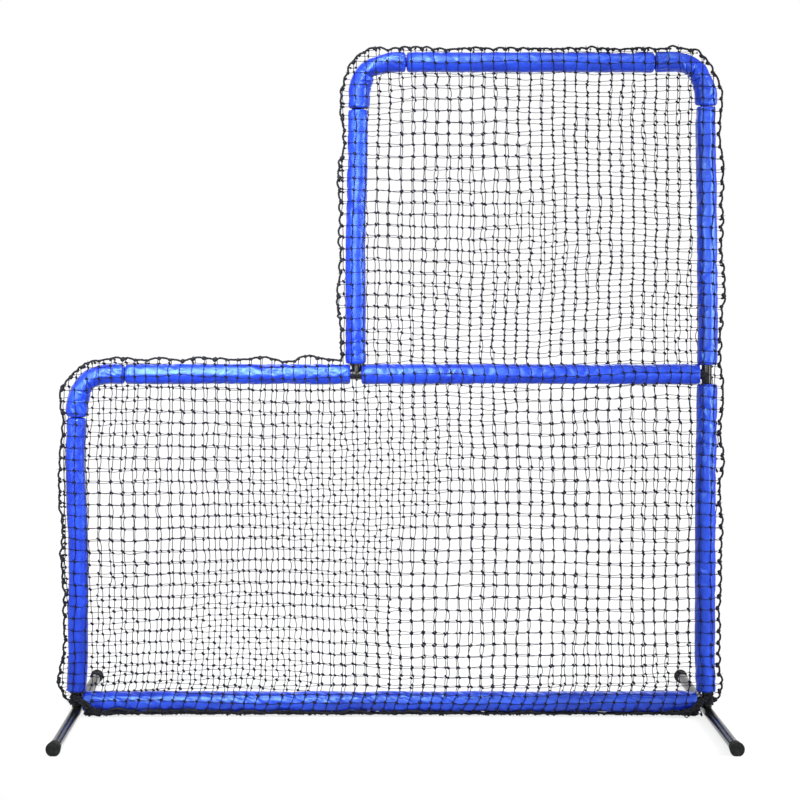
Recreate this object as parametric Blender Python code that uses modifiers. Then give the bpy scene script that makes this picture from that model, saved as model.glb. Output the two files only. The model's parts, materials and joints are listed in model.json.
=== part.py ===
"""Padded baseball L screen: a two layer net on a padded steel tube frame with two cross legs.

The screen stands in the XZ plane with its net facing -Y and +Y. Its origin lies on the
ground under the middle of the frame. All sizes are in metres.
"""

import math

import bmesh
import bpy
from mathutils import Vector

# Frame layout, from tube axis to tube axis and up from the ground
screen_width = 2.362
tall_width = 1.3124
top_rail_height = 2.451
crossbar_height = 1.282
bottom_rail_height = 0.0545

# Round tube, its slip joints and the gap kept between pieces that touch
tube_radius = 0.01905
tube_wall = 0.0016
touch_gap = 0.0003
spigot_length = 0.060
swage_taper = 0.004
cut_overrun = 0.004
merge_distance = 0.00002

# Corner elbows and T fittings, straight lengths past the bend and out from the crossing
bend_radius = 0.130
elbow_straight = 0.048
tee_arm = 0.090
weld_step = 0.0003
rail_end_gap = 0.001

# Cross legs, their upright spigots and rubber end caps
leg_length = 1.2192
leg_axis_height = 0.0235
leg_spigot_length = 0.130
cap_flange_radius = 0.0260
cap_flange_thickness = 0.010
cap_flange_round = 0.0025
cap_skirt_wall = 0.0032
cap_length = 0.045
cap_end_wall = 0.005

# Snap buttons on their spring leaves, in every locked slip joint
button_radius = 0.0035
button_clearance = 0.0005
button_setback = 0.030
button_proud = 0.003
button_dome = 0.0015
leaf_width = 0.008
leaf_thickness = 0.0008
leaf_tail = 0.026
leaf_tip = 0.006

# Round pads: vinyl covers with drawn-in ends over slit foam sleeves
pad_radius = 0.0381
cover_wall = 0.0008
pad_neck_clearance = 0.005
pad_end_round = 0.012
pad_break = 0.003
foam_slit = 0.009

# Bare lengths of tube that the pads leave at the fittings and feet
tee_left_bare = 0.0015
tee_right_bare = 0.009
bottom_left_bare = 0.004
bottom_right_bare = 0.016
right_foot_bare = 0.0385

# Straight lengths of each elbow's pad past the bend
top_left_pad_on_rail = 0.0524
top_left_pad_on_post = 0.0440
top_right_pad_on_rail = 0.0650
top_right_pad_on_post = 0.0330
low_left_pad_on_rail = 0.0500
low_left_pad_on_post = 0.0300

# Net bag, its border rope and the gathered hem under the bottom rail
mesh_pitch = 0.0434
strand_thickness = 0.003
rope_radius = 0.0045
rope_stand_off = 0.017
rope_foot_height = 0.030
rope_inner_bend = 0.020
hem_radius = 0.006
hem_floor_gap = 0.0025
hem_end_clearance = 0.012

# Counts: sides of every round section, steps of the bends, meshes that one net cell stands for
ring_sides = 12
button_sides = 8
rope_bevel_resolution = 2
bend_steps = 4
rope_bend_steps = 6
end_round_steps = 2
meshes_per_cell = 5

# Values that follow from the sizes above
left_x = -screen_width / 2
right_x = screen_width / 2
inner_x = right_x - tall_width
bore_radius = tube_radius - tube_wall
spigot_radius = bore_radius - touch_gap
spigot_bore_radius = spigot_radius - tube_wall
elbow_arm = bend_radius + elbow_straight
half_side_angle = math.pi / ring_sides
neck_radius = tube_radius + pad_neck_clearance
hole_radius = button_radius + button_clearance
strand_radius = strand_thickness / 2
net_stand_off = pad_radius + strand_radius + touch_gap
rope_offset = pad_radius + rope_stand_off
net_seam = strand_radius + touch_gap
hem_height = hem_floor_gap + hem_radius
hem_half_length = right_x - tube_radius - hem_end_clearance

COLLECTION_NAME = "baseball_l_screen"
CUTTER_COLLECTION_NAME = "cutters"

TURN_TO_X = (0.0, math.pi / 2, 0.0)
TURN_TO_Y = (-math.pi / 2, 0.0, 0.0)
UPRIGHT = (0.0, 0.0, 0.0)


def clear_scene():
    """Remove every object that the scene holds."""
    for obj in list(bpy.data.objects):
        bpy.data.objects.remove(obj, do_unlink=True)


def make_collection(name):
    """Make a collection under the scene's own."""
    collection = bpy.data.collections.new(name)
    bpy.context.scene.collection.children.link(collection)
    return collection


def make_material(name, colour, roughness, metallic=0.0):
    """Make a Principled material."""
    material = bpy.data.materials.new(name)
    material.use_nodes = True
    shader = material.node_tree.nodes["Principled BSDF"]
    shader.inputs["Base Color"].default_value = (*colour, 1.0)
    shader.inputs["Roughness"].default_value = roughness
    shader.inputs["Metallic"].default_value = metallic
    material.diffuse_color = (*colour, 1.0)
    return material


clear_scene()
PARTS = make_collection(COLLECTION_NAME)
CUTTERS = make_collection(CUTTER_COLLECTION_NAME)


def add_object(name, data, material=None, place=(0.0, 0.0, 0.0), turn=UPRIGHT, parent=None):
    """Add a piece of the screen at a world place, under its parent empty."""
    obj = bpy.data.objects.new(name, data)
    PARTS.objects.link(obj)
    obj.rotation_euler = turn
    obj.location = place
    if parent is not None:
        obj.parent = parent
        obj.location = Vector(place) - parent.location
    if material is not None:
        data.materials.clear()
        data.materials.append(material)
    return obj


def add_empty(name, place):
    """Add an empty that pieces are parented to."""
    empty = bpy.data.objects.new(name, None)
    empty.location = place
    PARTS.objects.link(empty)
    return empty


def add_cutter(name, data, place=(0.0, 0.0, 0.0), turn=UPRIGHT):
    """Add a shape that only cuts or joins others."""
    obj = bpy.data.objects.new(name, data)
    CUTTERS.objects.link(obj)
    obj.location = place
    obj.rotation_euler = turn
    obj.hide_render = True
    obj.display_type = "WIRE"
    return obj


def profile_mesh(name, points, closed):
    """Make a mesh of one line through points (radius, height), closed or open.

    The line stands half a side past +X, so that the turned ring has flats along its axes.
    """
    mesh = bpy.data.meshes.new(name)
    across, up = math.cos(half_side_angle), math.sin(half_side_angle)
    vertices = [(radius * across, radius * up, height) for radius, height in points]
    edges = [(index, index + 1) for index in range(len(points) - 1)]
    if closed:
        edges.append((len(points) - 1, 0))
    mesh.from_pydata(vertices, edges, [])
    return mesh


def add_screw(obj, sides=ring_sides):
    """Turn an object's profile about its own Z axis."""
    screw = obj.modifiers.new("turn", "SCREW")
    screw.angle = 2 * math.pi
    screw.steps = sides
    screw.render_steps = sides
    screw.use_merge_vertices = True
    screw.merge_threshold = merge_distance
    screw.use_smooth_shade = False


def add_solidify(obj, thickness):
    """Give an open surface a wall on its inner side."""
    shell = obj.modifiers.new("wall", "SOLIDIFY")
    shell.thickness = thickness
    shell.offset = -1.0


def add_boolean(obj, other, operation="DIFFERENCE"):
    """Cut another shape from an object, or join it on, and weld the corners that then meet."""
    modifier = obj.modifiers.new(operation.lower(), "BOOLEAN")
    modifier.operation = operation
    modifier.solver = "EXACT"
    modifier.object = other
    weld = obj.modifiers.new("weld", "WELD")
    weld.merge_threshold = merge_distance


def ring_height(radius, across):
    """Give how high a ring of flats reaches at a distance across from its middle."""
    past_flat = max(across - radius * math.sin(half_side_angle), 0.0)
    return radius * math.cos(half_side_angle) - past_flat * math.tan(2 * half_side_angle)


def ring_outline(radius, gap):
    """List a ring's corners (x, y) clockwise from one side of a gap at +Y to the other."""
    half_gap = gap / 2
    turns = [math.pi / 2 - half_side_angle * (2 * step + 1) for step in range(ring_sides)]
    corners = [(radius * math.cos(a), radius * math.sin(a)) for a in turns]
    kept = [(x, y) for x, y in corners if abs(x) > half_gap or y < 0.0]
    lip = ring_height(radius, half_gap)
    return [(half_gap, lip)] + kept + [(-half_gap, lip)]


def pipe_points(length, outer_radius, inner_radius):
    """List the closed wall section of a straight pipe that stands on height zero."""
    return [(outer_radius, length), (outer_radius, 0.0), (inner_radius, 0.0), (inner_radius, length)]


def bar_points(low, high, radius):
    """List the open section of a solid round bar between two heights."""
    return [(0.0, high), (radius, high), (radius, low), (0.0, low)]


def swaged_points(arm, overrun, body_radius, end_radius):
    """List half of a fitting's section from its spigot's end down to height zero."""
    return [
        (0.0, arm + spigot_length + overrun),
        (end_radius, arm + spigot_length + overrun),
        (end_radius, arm),
        (body_radius, arm - swage_taper),
        (body_radius, 0.0),
    ]


def turned_cutter(name, points, place, turn, closed=False, sides=ring_sides):
    """Add a turned shape among the cutters."""
    cutter = add_cutter(name, profile_mesh(name, points, closed), place, turn)
    add_screw(cutter, sides)
    return cutter


def cut_button_hole(obj, name, place_x, place_z):
    """Cut the round hole of a snap button through the wall on the +Y side."""
    points = bar_points(spigot_bore_radius / 2, tube_radius + cut_overrun, hole_radius)
    cutter = turned_cutter(f"{name}_hole", points, (place_x, 0.0, place_z), TURN_TO_Y,
                           sides=button_sides)
    add_boolean(obj, cutter)


def mesh_from_curve(name, curve):
    """Turn a curve into a welded mesh that modifiers can cut."""
    guide = bpy.data.objects.new(f"{name}_guide", curve)
    CUTTERS.objects.link(guide)
    bpy.context.view_layer.update()
    evaluated = guide.evaluated_get(bpy.context.evaluated_depsgraph_get())
    mesh = bpy.data.meshes.new_from_object(evaluated)
    bpy.data.objects.remove(guide, do_unlink=True)
    bpy.data.curves.remove(curve)
    shape = bmesh.new()
    shape.from_mesh(mesh)
    bmesh.ops.remove_doubles(shape, verts=shape.verts, dist=merge_distance)
    bmesh.ops.recalc_face_normals(shape, faces=shape.faces)
    shape.to_mesh(mesh)
    shape.free()
    mesh.name = name
    return mesh


def route_curve(name, stations, radius, resolution, caps):
    """Make a round section curve through stations (x, y, z, local radius)."""
    curve = bpy.data.curves.new(name, "CURVE")
    curve.dimensions = "3D"
    curve.bevel_depth = radius
    curve.bevel_resolution = resolution
    curve.use_fill_caps = caps
    spline = curve.splines.new("POLY")
    spline.points.add(len(stations) - 1)
    for point, (x, y, z, local_radius) in zip(spline.points, stations):
        point.co = (x, y, z, 1.0)
        point.radius = local_radius / radius
        point.tilt = half_side_angle
    return curve


def arc_points(centre_x, centre_z, radius, start, turn, steps):
    """List points (x, z) on an arc from an angle through a turn, both in radians."""
    angles = [start + turn * step / steps for step in range(steps + 1)]
    return [(centre_x + radius * math.cos(a), centre_z + radius * math.sin(a)) for a in angles]


def corner_route(corner_x, corner_z, side, steps):
    """List the elbow's bend from its rail to its post; side is +1 where the rail runs to +X."""
    start = math.pi / 2
    return arc_points(corner_x + side * bend_radius, corner_z - bend_radius, bend_radius,
                      start, side * math.pi / 2, steps)


def elbow_stations(corner_x, corner_z, side, rail_ends, post_ends, body_radius):
    """List an elbow's stations; ends are (distance from the corner, radius), outermost first."""
    rail = [(corner_x + side * reach, corner_z, radius) for reach, radius in rail_ends]
    post = [(corner_x, corner_z - reach, radius) for reach, radius in reversed(post_ends)]
    bend = [(x, z, body_radius) for x, z in corner_route(corner_x, corner_z, side, bend_steps)]
    return [(x, 0.0, z, radius) for x, z, radius in rail + bend + post]


def sleeve_mesh(name, stations, radius):
    """Make the open surface of a bent round sleeve."""
    resolution = ring_sides // 2 - 2
    return mesh_from_curve(name, route_curve(name, stations, radius, resolution, caps=False))


def end_round_profile():
    """List the drawn-in end of a pad as (distance from the end, radius), end first."""
    profile = []
    for step in range(end_round_steps + 1):
        angle = math.pi / 2 * step / end_round_steps
        distance = pad_end_round * (1 - math.cos(angle))
        profile.append((distance, neck_radius + (pad_radius - neck_radius) * math.sin(angle)))
    return profile


def nested_setback(reach):
    """Give how far a post's pad keeps from a rail's axis.

    The rail's pad ends at reach from the post's axis. The rounded rims of both pads are
    taken as circles of the larger of their two half axes, and the circles just miss.
    """
    rim = max(pad_radius - neck_radius, pad_end_round)
    sideways = reach + pad_end_round - neck_radius
    upwards = math.sqrt(max((2 * rim) ** 2 - sideways ** 2, 0.0))
    return neck_radius - pad_end_round + upwards + touch_gap


black_enamel = make_material("black_enamel", (0.012, 0.012, 0.014), 0.28)
blue_vinyl = make_material("blue_vinyl", (0.030, 0.090, 0.830), 0.32)
grey_foam = make_material("grey_foam", (0.060, 0.060, 0.065), 0.95)
cap_rubber = make_material("cap_rubber", (0.045, 0.045, 0.047), 0.75)
net_twine = make_material("net_twine", (0.010, 0.010, 0.012), 0.85)
border_twine = make_material("border_twine", (0.014, 0.014, 0.016), 0.80)
zinc_steel = make_material("zinc_steel", (0.560, 0.570, 0.580), 0.30, 1.0)

frame_origin = add_empty("frame_origin", (0.0, 0.0, 0.0))


def build_straight_tube(name, start, end, along_x, holes_at_start=True, holes_at_end=True):
    """Build a straight tube; start and end are (x, z) of its ends on its axis."""
    length = (end[0] - start[0]) if along_x else (end[1] - start[1])
    turn = TURN_TO_X if along_x else UPRIGHT
    mesh = profile_mesh(name, pipe_points(length, tube_radius, bore_radius), True)
    tube = add_object(name, mesh, black_enamel, (start[0], 0.0, start[1]), turn, frame_origin)
    add_screw(tube)
    inset = button_setback - touch_gap
    step_x, step_z = (inset, 0.0) if along_x else (0.0, inset)
    if holes_at_start:
        cut_button_hole(tube, f"{name}_start", start[0] + step_x, start[1] + step_z)
    if holes_at_end:
        cut_button_hole(tube, f"{name}_end", end[0] - step_x, end[1] - step_z)
    return tube


def build_foot_post(name, post_x, top_z, side):
    """Build a lower post: saddle foot over the leg, and a stub for the bottom rail to side."""
    low_z = leg_axis_height
    points = bar_points(0.0, top_z - low_z, tube_radius)
    post = add_object(name, profile_mesh(name, points, False), black_enamel,
                      (post_x, 0.0, low_z), UPRIGHT, frame_origin)
    add_screw(post)
    stub_turn = (0.0, side * math.pi / 2, 0.0)
    stub_place = (post_x, 0.0, bottom_rail_height)
    stub_reach = tube_radius + spigot_length
    stub = turned_cutter(f"{name}_stub", bar_points(0.0, stub_reach, spigot_radius),
                         stub_place, stub_turn)
    stub_bore = turned_cutter(f"{name}_stub_bore",
                              bar_points(0.0, stub_reach + cut_overrun, spigot_bore_radius),
                              stub_place, stub_turn)
    bore = turned_cutter(f"{name}_bore",
                         bar_points(-cut_overrun, top_z - low_z + cut_overrun, bore_radius),
                         (post_x, 0.0, low_z), UPRIGHT)
    saddle = turned_cutter(f"{name}_saddle",
                           bar_points(-pad_radius, pad_radius, tube_radius + touch_gap),
                           (post_x, 0.0, leg_axis_height), TURN_TO_Y)
    add_boolean(post, stub, "UNION")
    add_boolean(post, bore)
    add_boolean(post, stub_bore)
    add_boolean(post, saddle)
    cut_button_hole(post, name, post_x, top_z - button_setback + touch_gap)
    return post


def build_elbow(name, corner_x, corner_z, side):
    """Build a bent corner tube with a swaged spigot on both arms."""
    ends = [
        (elbow_arm + spigot_length, spigot_radius),
        (elbow_arm, spigot_radius),
        (elbow_arm - swage_taper, tube_radius),
    ]
    stations = elbow_stations(corner_x, corner_z, side, ends, ends, tube_radius)
    elbow = add_object(name, sleeve_mesh(name, stations, tube_radius), black_enamel,
                       parent=frame_origin)
    add_solidify(elbow, tube_wall)
    reach = elbow_arm + button_setback
    cut_button_hole(elbow, f"{name}_rail", corner_x + side * reach, corner_z)
    cut_button_hole(elbow, f"{name}_post", corner_x, corner_z - reach)
    return elbow


def build_tee(name, centre_x, centre_z, run_turn, branch_turn, hole_places):
    """Build a welded T fitting: a run with two spigots and a branch with one."""
    place = (centre_x, 0.0, centre_z)
    half = swaged_points(tee_arm, 0.0, tube_radius, spigot_radius)
    run_points = half[:-1] + [(radius, -height) for radius, height in reversed(half[:-1])]
    tee = add_object(name, profile_mesh(name, run_points, False), black_enamel,
                     place, run_turn, frame_origin)
    add_screw(tee)
    half_bore = swaged_points(tee_arm, cut_overrun, bore_radius, spigot_bore_radius)
    bore_points = half_bore[:-1] + [(radius, -height) for radius, height in reversed(half_bore[:-1])]
    run_bore = turned_cutter(f"{name}_run_bore", bore_points, place, run_turn)
    branch_points = swaged_points(tee_arm, 0.0, tube_radius - weld_step, spigot_radius)
    branch = turned_cutter(f"{name}_branch", branch_points + [(0.0, 0.0)], place, branch_turn)
    branch_bore_points = swaged_points(tee_arm, cut_overrun, bore_radius - weld_step,
                                       spigot_bore_radius)
    branch_bore = turned_cutter(f"{name}_branch_bore", branch_bore_points + [(0.0, 0.0)],
                                place, branch_turn)
    add_boolean(tee, branch, "UNION")
    add_boolean(tee, run_bore)
    add_boolean(tee, branch_bore)
    for label, (hole_x, hole_z) in hole_places.items():
        cut_button_hole(tee, f"{name}_{label}", hole_x, hole_z)
    return tee


def build_snap_button(name, place_x, place_z, tail_direction):
    """Build a domed button on its spring leaf; the tail runs back into the fitting."""
    leaf_face = ring_height(spigot_bore_radius, leaf_width / 2) - touch_gap
    top = tube_radius + button_proud - leaf_face
    points = [
        (0.0, top),
        (button_radius - button_dome, top),
        (button_radius, top - button_dome),
        (button_radius, -leaf_thickness / 2),
        (0.0, -leaf_thickness / 2),
    ]
    button = add_object(name, profile_mesh(name, points, False), zinc_steel,
                        (place_x, leaf_face, place_z), TURN_TO_Y, frame_origin)
    add_screw(button, button_sides)
    run_x, run_z = tail_direction
    shape = bmesh.new()
    bmesh.ops.create_cube(shape, size=1.0)
    middle = (leaf_tail - leaf_tip) / 2
    length = leaf_tail + leaf_tip
    size = Vector((length if run_x else leaf_width, leaf_thickness, length if run_z else leaf_width))
    bmesh.ops.scale(shape, vec=size, verts=shape.verts)
    mesh = bpy.data.meshes.new(f"{name}_leaf")
    shape.to_mesh(mesh)
    shape.free()
    leaf_place = (place_x + run_x * middle, leaf_face - leaf_thickness / 2, place_z + run_z * middle)
    leaf = add_cutter(f"{name}_leaf", mesh, leaf_place)
    add_boolean(button, leaf, "UNION")
    return button


def build_straight_pad(label, start, end, along_x):
    """Build a straight pad's vinyl cover and its slit foam; start and end are (x, z)."""
    length = (end[0] - start[0]) if along_x else (end[1] - start[1])
    turn = TURN_TO_X if along_x else UPRIGHT
    place = (start[0], 0.0, start[1])
    profile = end_round_profile()
    points = [(radius, length - distance) for distance, radius in profile]
    points += [(radius, distance) for distance, radius in reversed(profile)]
    name = f"pad_cover_{label}"
    cover = add_object(name, profile_mesh(name, points, False), blue_vinyl, place, turn, frame_origin)
    add_screw(cover)
    add_solidify(cover, cover_wall)
    build_slit_foam(f"pad_foam_{label}", start, length, along_x)


def build_slit_foam(name, start, length, along_x):
    """Build a straight foam sleeve, slit along its +Y side."""
    foam_length = length - 2 * (pad_end_round + touch_gap)
    outer = pad_radius - cover_wall - touch_gap
    inner = tube_radius + touch_gap
    outline = ring_outline(outer, foam_slit) + list(reversed(ring_outline(inner, foam_slit)))
    curve = bpy.data.curves.new(name, "CURVE")
    curve.dimensions = "2D"
    curve.fill_mode = "BOTH"
    curve.extrude = foam_length / 2
    spline = curve.splines.new("POLY")
    spline.points.add(len(outline) - 1)
    for point, (x, y) in zip(spline.points, outline):
        point.co = (x, y, 0.0, 1.0)
    spline.use_cyclic_u = True
    mesh = mesh_from_curve(name, curve)
    middle = length / 2
    place = (start[0] + middle, 0.0, start[1]) if along_x else (start[0], 0.0, start[1] + middle)
    add_object(name, mesh, grey_foam, place, TURN_TO_X if along_x else UPRIGHT, frame_origin)


def build_elbow_pad(label, corner_x, corner_z, side, on_rail, on_post):
    """Build an elbow's bent cover and foam; the pad runs on past the bend on both arms."""
    rail_reach = bend_radius + on_rail
    post_reach = bend_radius + on_post
    profile = end_round_profile()
    rail_ends = [(rail_reach - distance, radius) for distance, radius in profile]
    post_ends = [(post_reach - distance, radius) for distance, radius in profile]
    name = f"pad_cover_{label}"
    stations = elbow_stations(corner_x, corner_z, side, rail_ends, post_ends, pad_radius)
    cover = add_object(name, sleeve_mesh(name, stations, pad_radius), blue_vinyl,
                       parent=frame_origin)
    add_solidify(cover, cover_wall)
    foam_radius = pad_radius - cover_wall - touch_gap
    inset = pad_end_round + touch_gap
    stations = elbow_stations(corner_x, corner_z, side, [(rail_reach - inset, foam_radius)],
                              [(post_reach - inset, foam_radius)], foam_radius)
    name = f"pad_foam_{label}"
    foam = add_object(name, sleeve_mesh(name, stations, foam_radius), grey_foam,
                      parent=frame_origin)
    add_solidify(foam, foam_radius - tube_radius - touch_gap)


def build_leg(name, post_x, parent):
    """Build a cross leg: a tube along Y with the post's spigot welded upright on it."""
    half_tube = leg_length / 2 - cap_end_wall - touch_gap
    place = (post_x, 0.0, leg_axis_height)
    leg = add_object(name, profile_mesh(name, bar_points(-half_tube, half_tube, tube_radius), False),
                     black_enamel, place, TURN_TO_Y, parent)
    add_screw(leg)
    spigot_top = tube_radius + leg_spigot_length
    spigot = turned_cutter(f"{name}_spigot", bar_points(0.0, spigot_top, spigot_radius),
                           place, UPRIGHT)
    bore = turned_cutter(f"{name}_bore",
                         bar_points(-half_tube - cut_overrun, half_tube + cut_overrun, bore_radius),
                         place, TURN_TO_Y)
    spigot_bore = turned_cutter(f"{name}_spigot_bore",
                                bar_points(0.0, spigot_top + cut_overrun, spigot_bore_radius),
                                place, UPRIGHT)
    add_boolean(leg, spigot, "UNION")
    add_boolean(leg, bore)
    add_boolean(leg, spigot_bore)
    return leg


def build_leg_cap(name, post_x, side, parent):
    """Build a rubber cap over a leg's end, flat where its flange stands on the ground."""
    skirt_bore = tube_radius + touch_gap
    skirt_radius = skirt_bore + cap_skirt_wall
    points = [
        (0.0, 0.0),
        (cap_flange_radius - cap_flange_round, 0.0),
        (cap_flange_radius, -cap_flange_round),
        (cap_flange_radius, -cap_flange_thickness),
        (skirt_radius, -cap_flange_thickness),
        (skirt_radius, -cap_length),
        (skirt_bore, -cap_length),
        (skirt_bore, -cap_end_wall),
        (0.0, -cap_end_wall),
    ]
    place = (post_x, side * leg_length / 2, leg_axis_height)
    turn = (-side * math.pi / 2, 0.0, 0.0)
    cap = add_object(name, profile_mesh(name, points, False), cap_rubber, place, turn, parent)
    add_screw(cap)
    shape = bmesh.new()
    bmesh.ops.create_cube(shape, size=1.0)
    block = 2 * (cap_length + cap_flange_radius)
    bmesh.ops.scale(shape, vec=Vector((block, block, block)), verts=shape.verts)
    mesh = bpy.data.meshes.new(f"{name}_ground")
    shape.to_mesh(mesh)
    shape.free()
    ground = add_cutter(f"{name}_ground", mesh, (post_x, side * leg_length / 2, -block / 2))
    add_boolean(cap, ground)
    return cap


def wrap_offsets(reach, held_radius):
    """Give the bend (outward, depth) of a strand that wraps a pad on its way to its border.

    The strand leaves the pad's crest level and reaches the border along a tangent, so the
    bend lies where both lines meet. The border is reach from the pad's axis.
    """
    border_depth = held_radius + strand_radius + touch_gap
    distance = math.hypot(reach, border_depth)
    tangent = math.atan2(border_depth, reach) + math.acos(min(net_stand_off / distance, 1.0))
    bend_angle = (math.pi / 2 + tangent) / 2
    bend_outward = net_stand_off / math.tan(bend_angle)
    return bend_outward, border_depth


def spread(low, high):
    """List the evenly spaced lines of a net between two limits, both among them.

    No cell is narrower than the meshes that it stands for.
    """
    count = max(1, int((high - low) / (mesh_pitch * meshes_per_cell)))
    return [low + (high - low) * step / count for step in range(count + 1)]


def tall_columns(bend):
    """List the net's lines between the inner post and the strand's bend past the right post."""
    return spread(inner_x + bend_radius, right_x - bend_radius) + [right_x + bend]


def along(place, direction, distance):
    """Move a place (x, z) along a direction."""
    return (place[0] + direction[0] * distance, place[1] + direction[1] * distance)


def elbow_outward(corner_x, corner_z, side, distance):
    """Give the place (x, z) at a distance outward from the middle of an elbow's bend."""
    share = math.cos(math.pi / 4)
    inset = bend_radius * (1 - share)
    return along((corner_x + side * inset, corner_z - inset), (-side * share, share), distance)


class NetSheet:
    """One layer of the net over one rectangle of the frame, with its edges wrapped round pads."""

    def __init__(self, side, columns, rows, moved):
        """Add the flat field; side is -1 in front and +1 behind.

        moved maps a grid corner (column, row) to its own place (x, z).
        """
        self.side = side
        self.points = []
        self.faces = []
        self.knots = {}
        for i, x in enumerate(columns):
            for j, z in enumerate(rows):
                self.knots[i, j] = self.add_point(moved.get((i, j), (x, z)), net_stand_off)
        self.cells = {(i, j): [self.knots[i, j], self.knots[i + 1, j],
                               self.knots[i + 1, j + 1], self.knots[i, j + 1]]
                      for i in range(len(columns) - 1) for j in range(len(rows) - 1)}

    def add_point(self, place, depth):
        """Add a knot at (x, z) and return its number."""
        self.points.append((place[0], self.side * depth, place[1]))
        return len(self.points) - 1

    def add_knot_on_border(self, cell, after, place):
        """Add one more knot to the edge of a cell, after one of its corners."""
        number = self.add_point(place, net_stand_off)
        corners = self.cells[cell]
        corners.insert(corners.index(after) + 1, number)
        return number

    def add_edge(self, knots, borders, border_depth):
        """Add a row of wrapped cells; each strand runs from a knot to the border."""
        outer = [self.add_point(place, border_depth) for place in borders]
        for k in range(len(knots) - 1):
            self.faces.append([knots[k], knots[k + 1], outer[k + 1], outer[k]])

    def build(self, name):
        """Make the layer's strands."""
        mesh = bpy.data.meshes.new(name)
        mesh.from_pydata(self.points, [], list(self.cells.values()) + self.faces)
        shape = bmesh.new()
        shape.from_mesh(mesh)
        bmesh.ops.remove_doubles(shape, verts=shape.verts, dist=merge_distance)
        bmesh.ops.recalc_face_normals(shape, faces=shape.faces)
        shape.to_mesh(mesh)
        shape.free()
        sheet = add_object(name, mesh, net_twine, parent=frame_origin)
        strands = sheet.modifiers.new("strands", "WIREFRAME")
        strands.thickness = strand_thickness
        strands.use_even_offset = False
        strands.use_boundary = True
        strands.use_replace = True
        return sheet


def build_tall_net(name, side):
    """Build one layer of the net's tall part, above the crossbar."""
    bend, depth = wrap_offsets(rope_offset, rope_radius)
    columns = [inner_x - bend] + tall_columns(bend)
    rows = spread(crossbar_height + net_seam, top_rail_height - bend_radius)
    rows.append(top_rail_height + bend)
    last_i, last_j = len(columns) - 1, len(rows) - 1
    crossing_lift = 2 * (net_seam + strand_thickness)
    crossing_z = crossbar_height + crossing_lift
    left_top = (inner_x, top_rail_height, 1)
    right_top = (right_x, top_rail_height, -1)
    moved = {
        (0, 0): (inner_x - bend, crossing_z + bend),
        (0, last_j): elbow_outward(*left_top, bend),
        (last_i, last_j): elbow_outward(*right_top, bend),
    }
    sheet = NetSheet(side, columns, rows, moved)
    left_border = [(inner_x - rope_offset, z) for z in rows]
    left_border[0] = (inner_x - rope_offset, crossing_z + rope_offset)
    right_border = [(right_x + rope_offset, z) for z in rows]
    top_border = [(x, top_rail_height + rope_offset) for x in columns]
    left_border[-1] = top_border[0] = elbow_outward(*left_top, rope_offset)
    right_border[-1] = top_border[-1] = elbow_outward(*right_top, rope_offset)
    sheet.add_edge([sheet.knots[0, j] for j in range(last_j + 1)], left_border, depth)
    sheet.add_edge([sheet.knots[last_i, j] for j in range(last_j + 1)], right_border, depth)
    sheet.add_edge([sheet.knots[i, last_j] for i in range(last_i + 1)], top_border, depth)
    return sheet.build(name)


def build_low_net(name, side):
    """Build one layer of the net's low part, below the crossbar and the low top rail."""
    bend, depth = wrap_offsets(rope_offset, rope_radius)
    hem_drop = bottom_rail_height - hem_height
    hem_bend, hem_depth = wrap_offsets(hem_drop, hem_radius)
    low_columns = [left_x - bend] + spread(left_x + bend_radius, inner_x - bend)
    columns = low_columns + tall_columns(bend)
    rows = spread(bottom_rail_height - hem_bend, crossbar_height - bend_radius)
    rows.append(crossbar_height - net_seam)
    last_i, last_j, crossing_i = len(columns) - 1, len(rows) - 1, len(low_columns) - 1
    left_top = (left_x, crossbar_height, 1)
    moved = {(i, last_j): (columns[i], crossbar_height + bend) for i in range(crossing_i + 1)}
    moved[0, last_j] = elbow_outward(*left_top, bend)
    moved[0, 0] = (columns[0], bottom_rail_height)
    moved[last_i, 0] = (columns[-1], bottom_rail_height)
    sheet = NetSheet(side, columns, rows, moved)
    left_foot = sheet.add_knot_on_border((0, 0), sheet.knots[0, 0], (-hem_half_length, rows[0]))
    right_foot = sheet.add_knot_on_border((last_i - 1, 0), sheet.knots[last_i - 1, 0],
                                          (hem_half_length, rows[0]))
    left_border = [(left_x - rope_offset, z) for z in rows]
    right_border = [(right_x + rope_offset, z) for z in rows]
    left_border[0] = (left_x - rope_offset, bottom_rail_height)
    right_border[0] = (right_x + rope_offset, bottom_rail_height)
    top_border = [(x, crossbar_height + rope_offset) for x in low_columns]
    top_border[-1] = (inner_x - rope_offset, crossbar_height + rope_offset)
    left_border[-1] = top_border[0] = elbow_outward(*left_top, rope_offset)
    sheet.add_edge([sheet.knots[0, j] for j in range(last_j + 1)], left_border, depth)
    sheet.add_edge([sheet.knots[last_i, j] for j in range(last_j + 1)], right_border, depth)
    sheet.add_edge([sheet.knots[i, last_j] for i in range(crossing_i + 1)], top_border, depth)
    hem_knots = [left_foot] + [sheet.knots[i, 0] for i in range(1, last_i)] + [right_foot]
    hem_x = [-hem_half_length] + columns[1:-1] + [hem_half_length]
    sheet.add_edge(hem_knots, [(x, hem_height) for x in hem_x], hem_depth)
    return sheet.build(name)


def rope_corner(corner_x, corner_z, side):
    """List the border rope's route round the outside of an elbow, from rail side to post side."""
    return arc_points(corner_x + side * bend_radius, corner_z - bend_radius,
                      bend_radius + rope_offset, math.pi / 2, side * math.pi / 2, rope_bend_steps)


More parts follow.
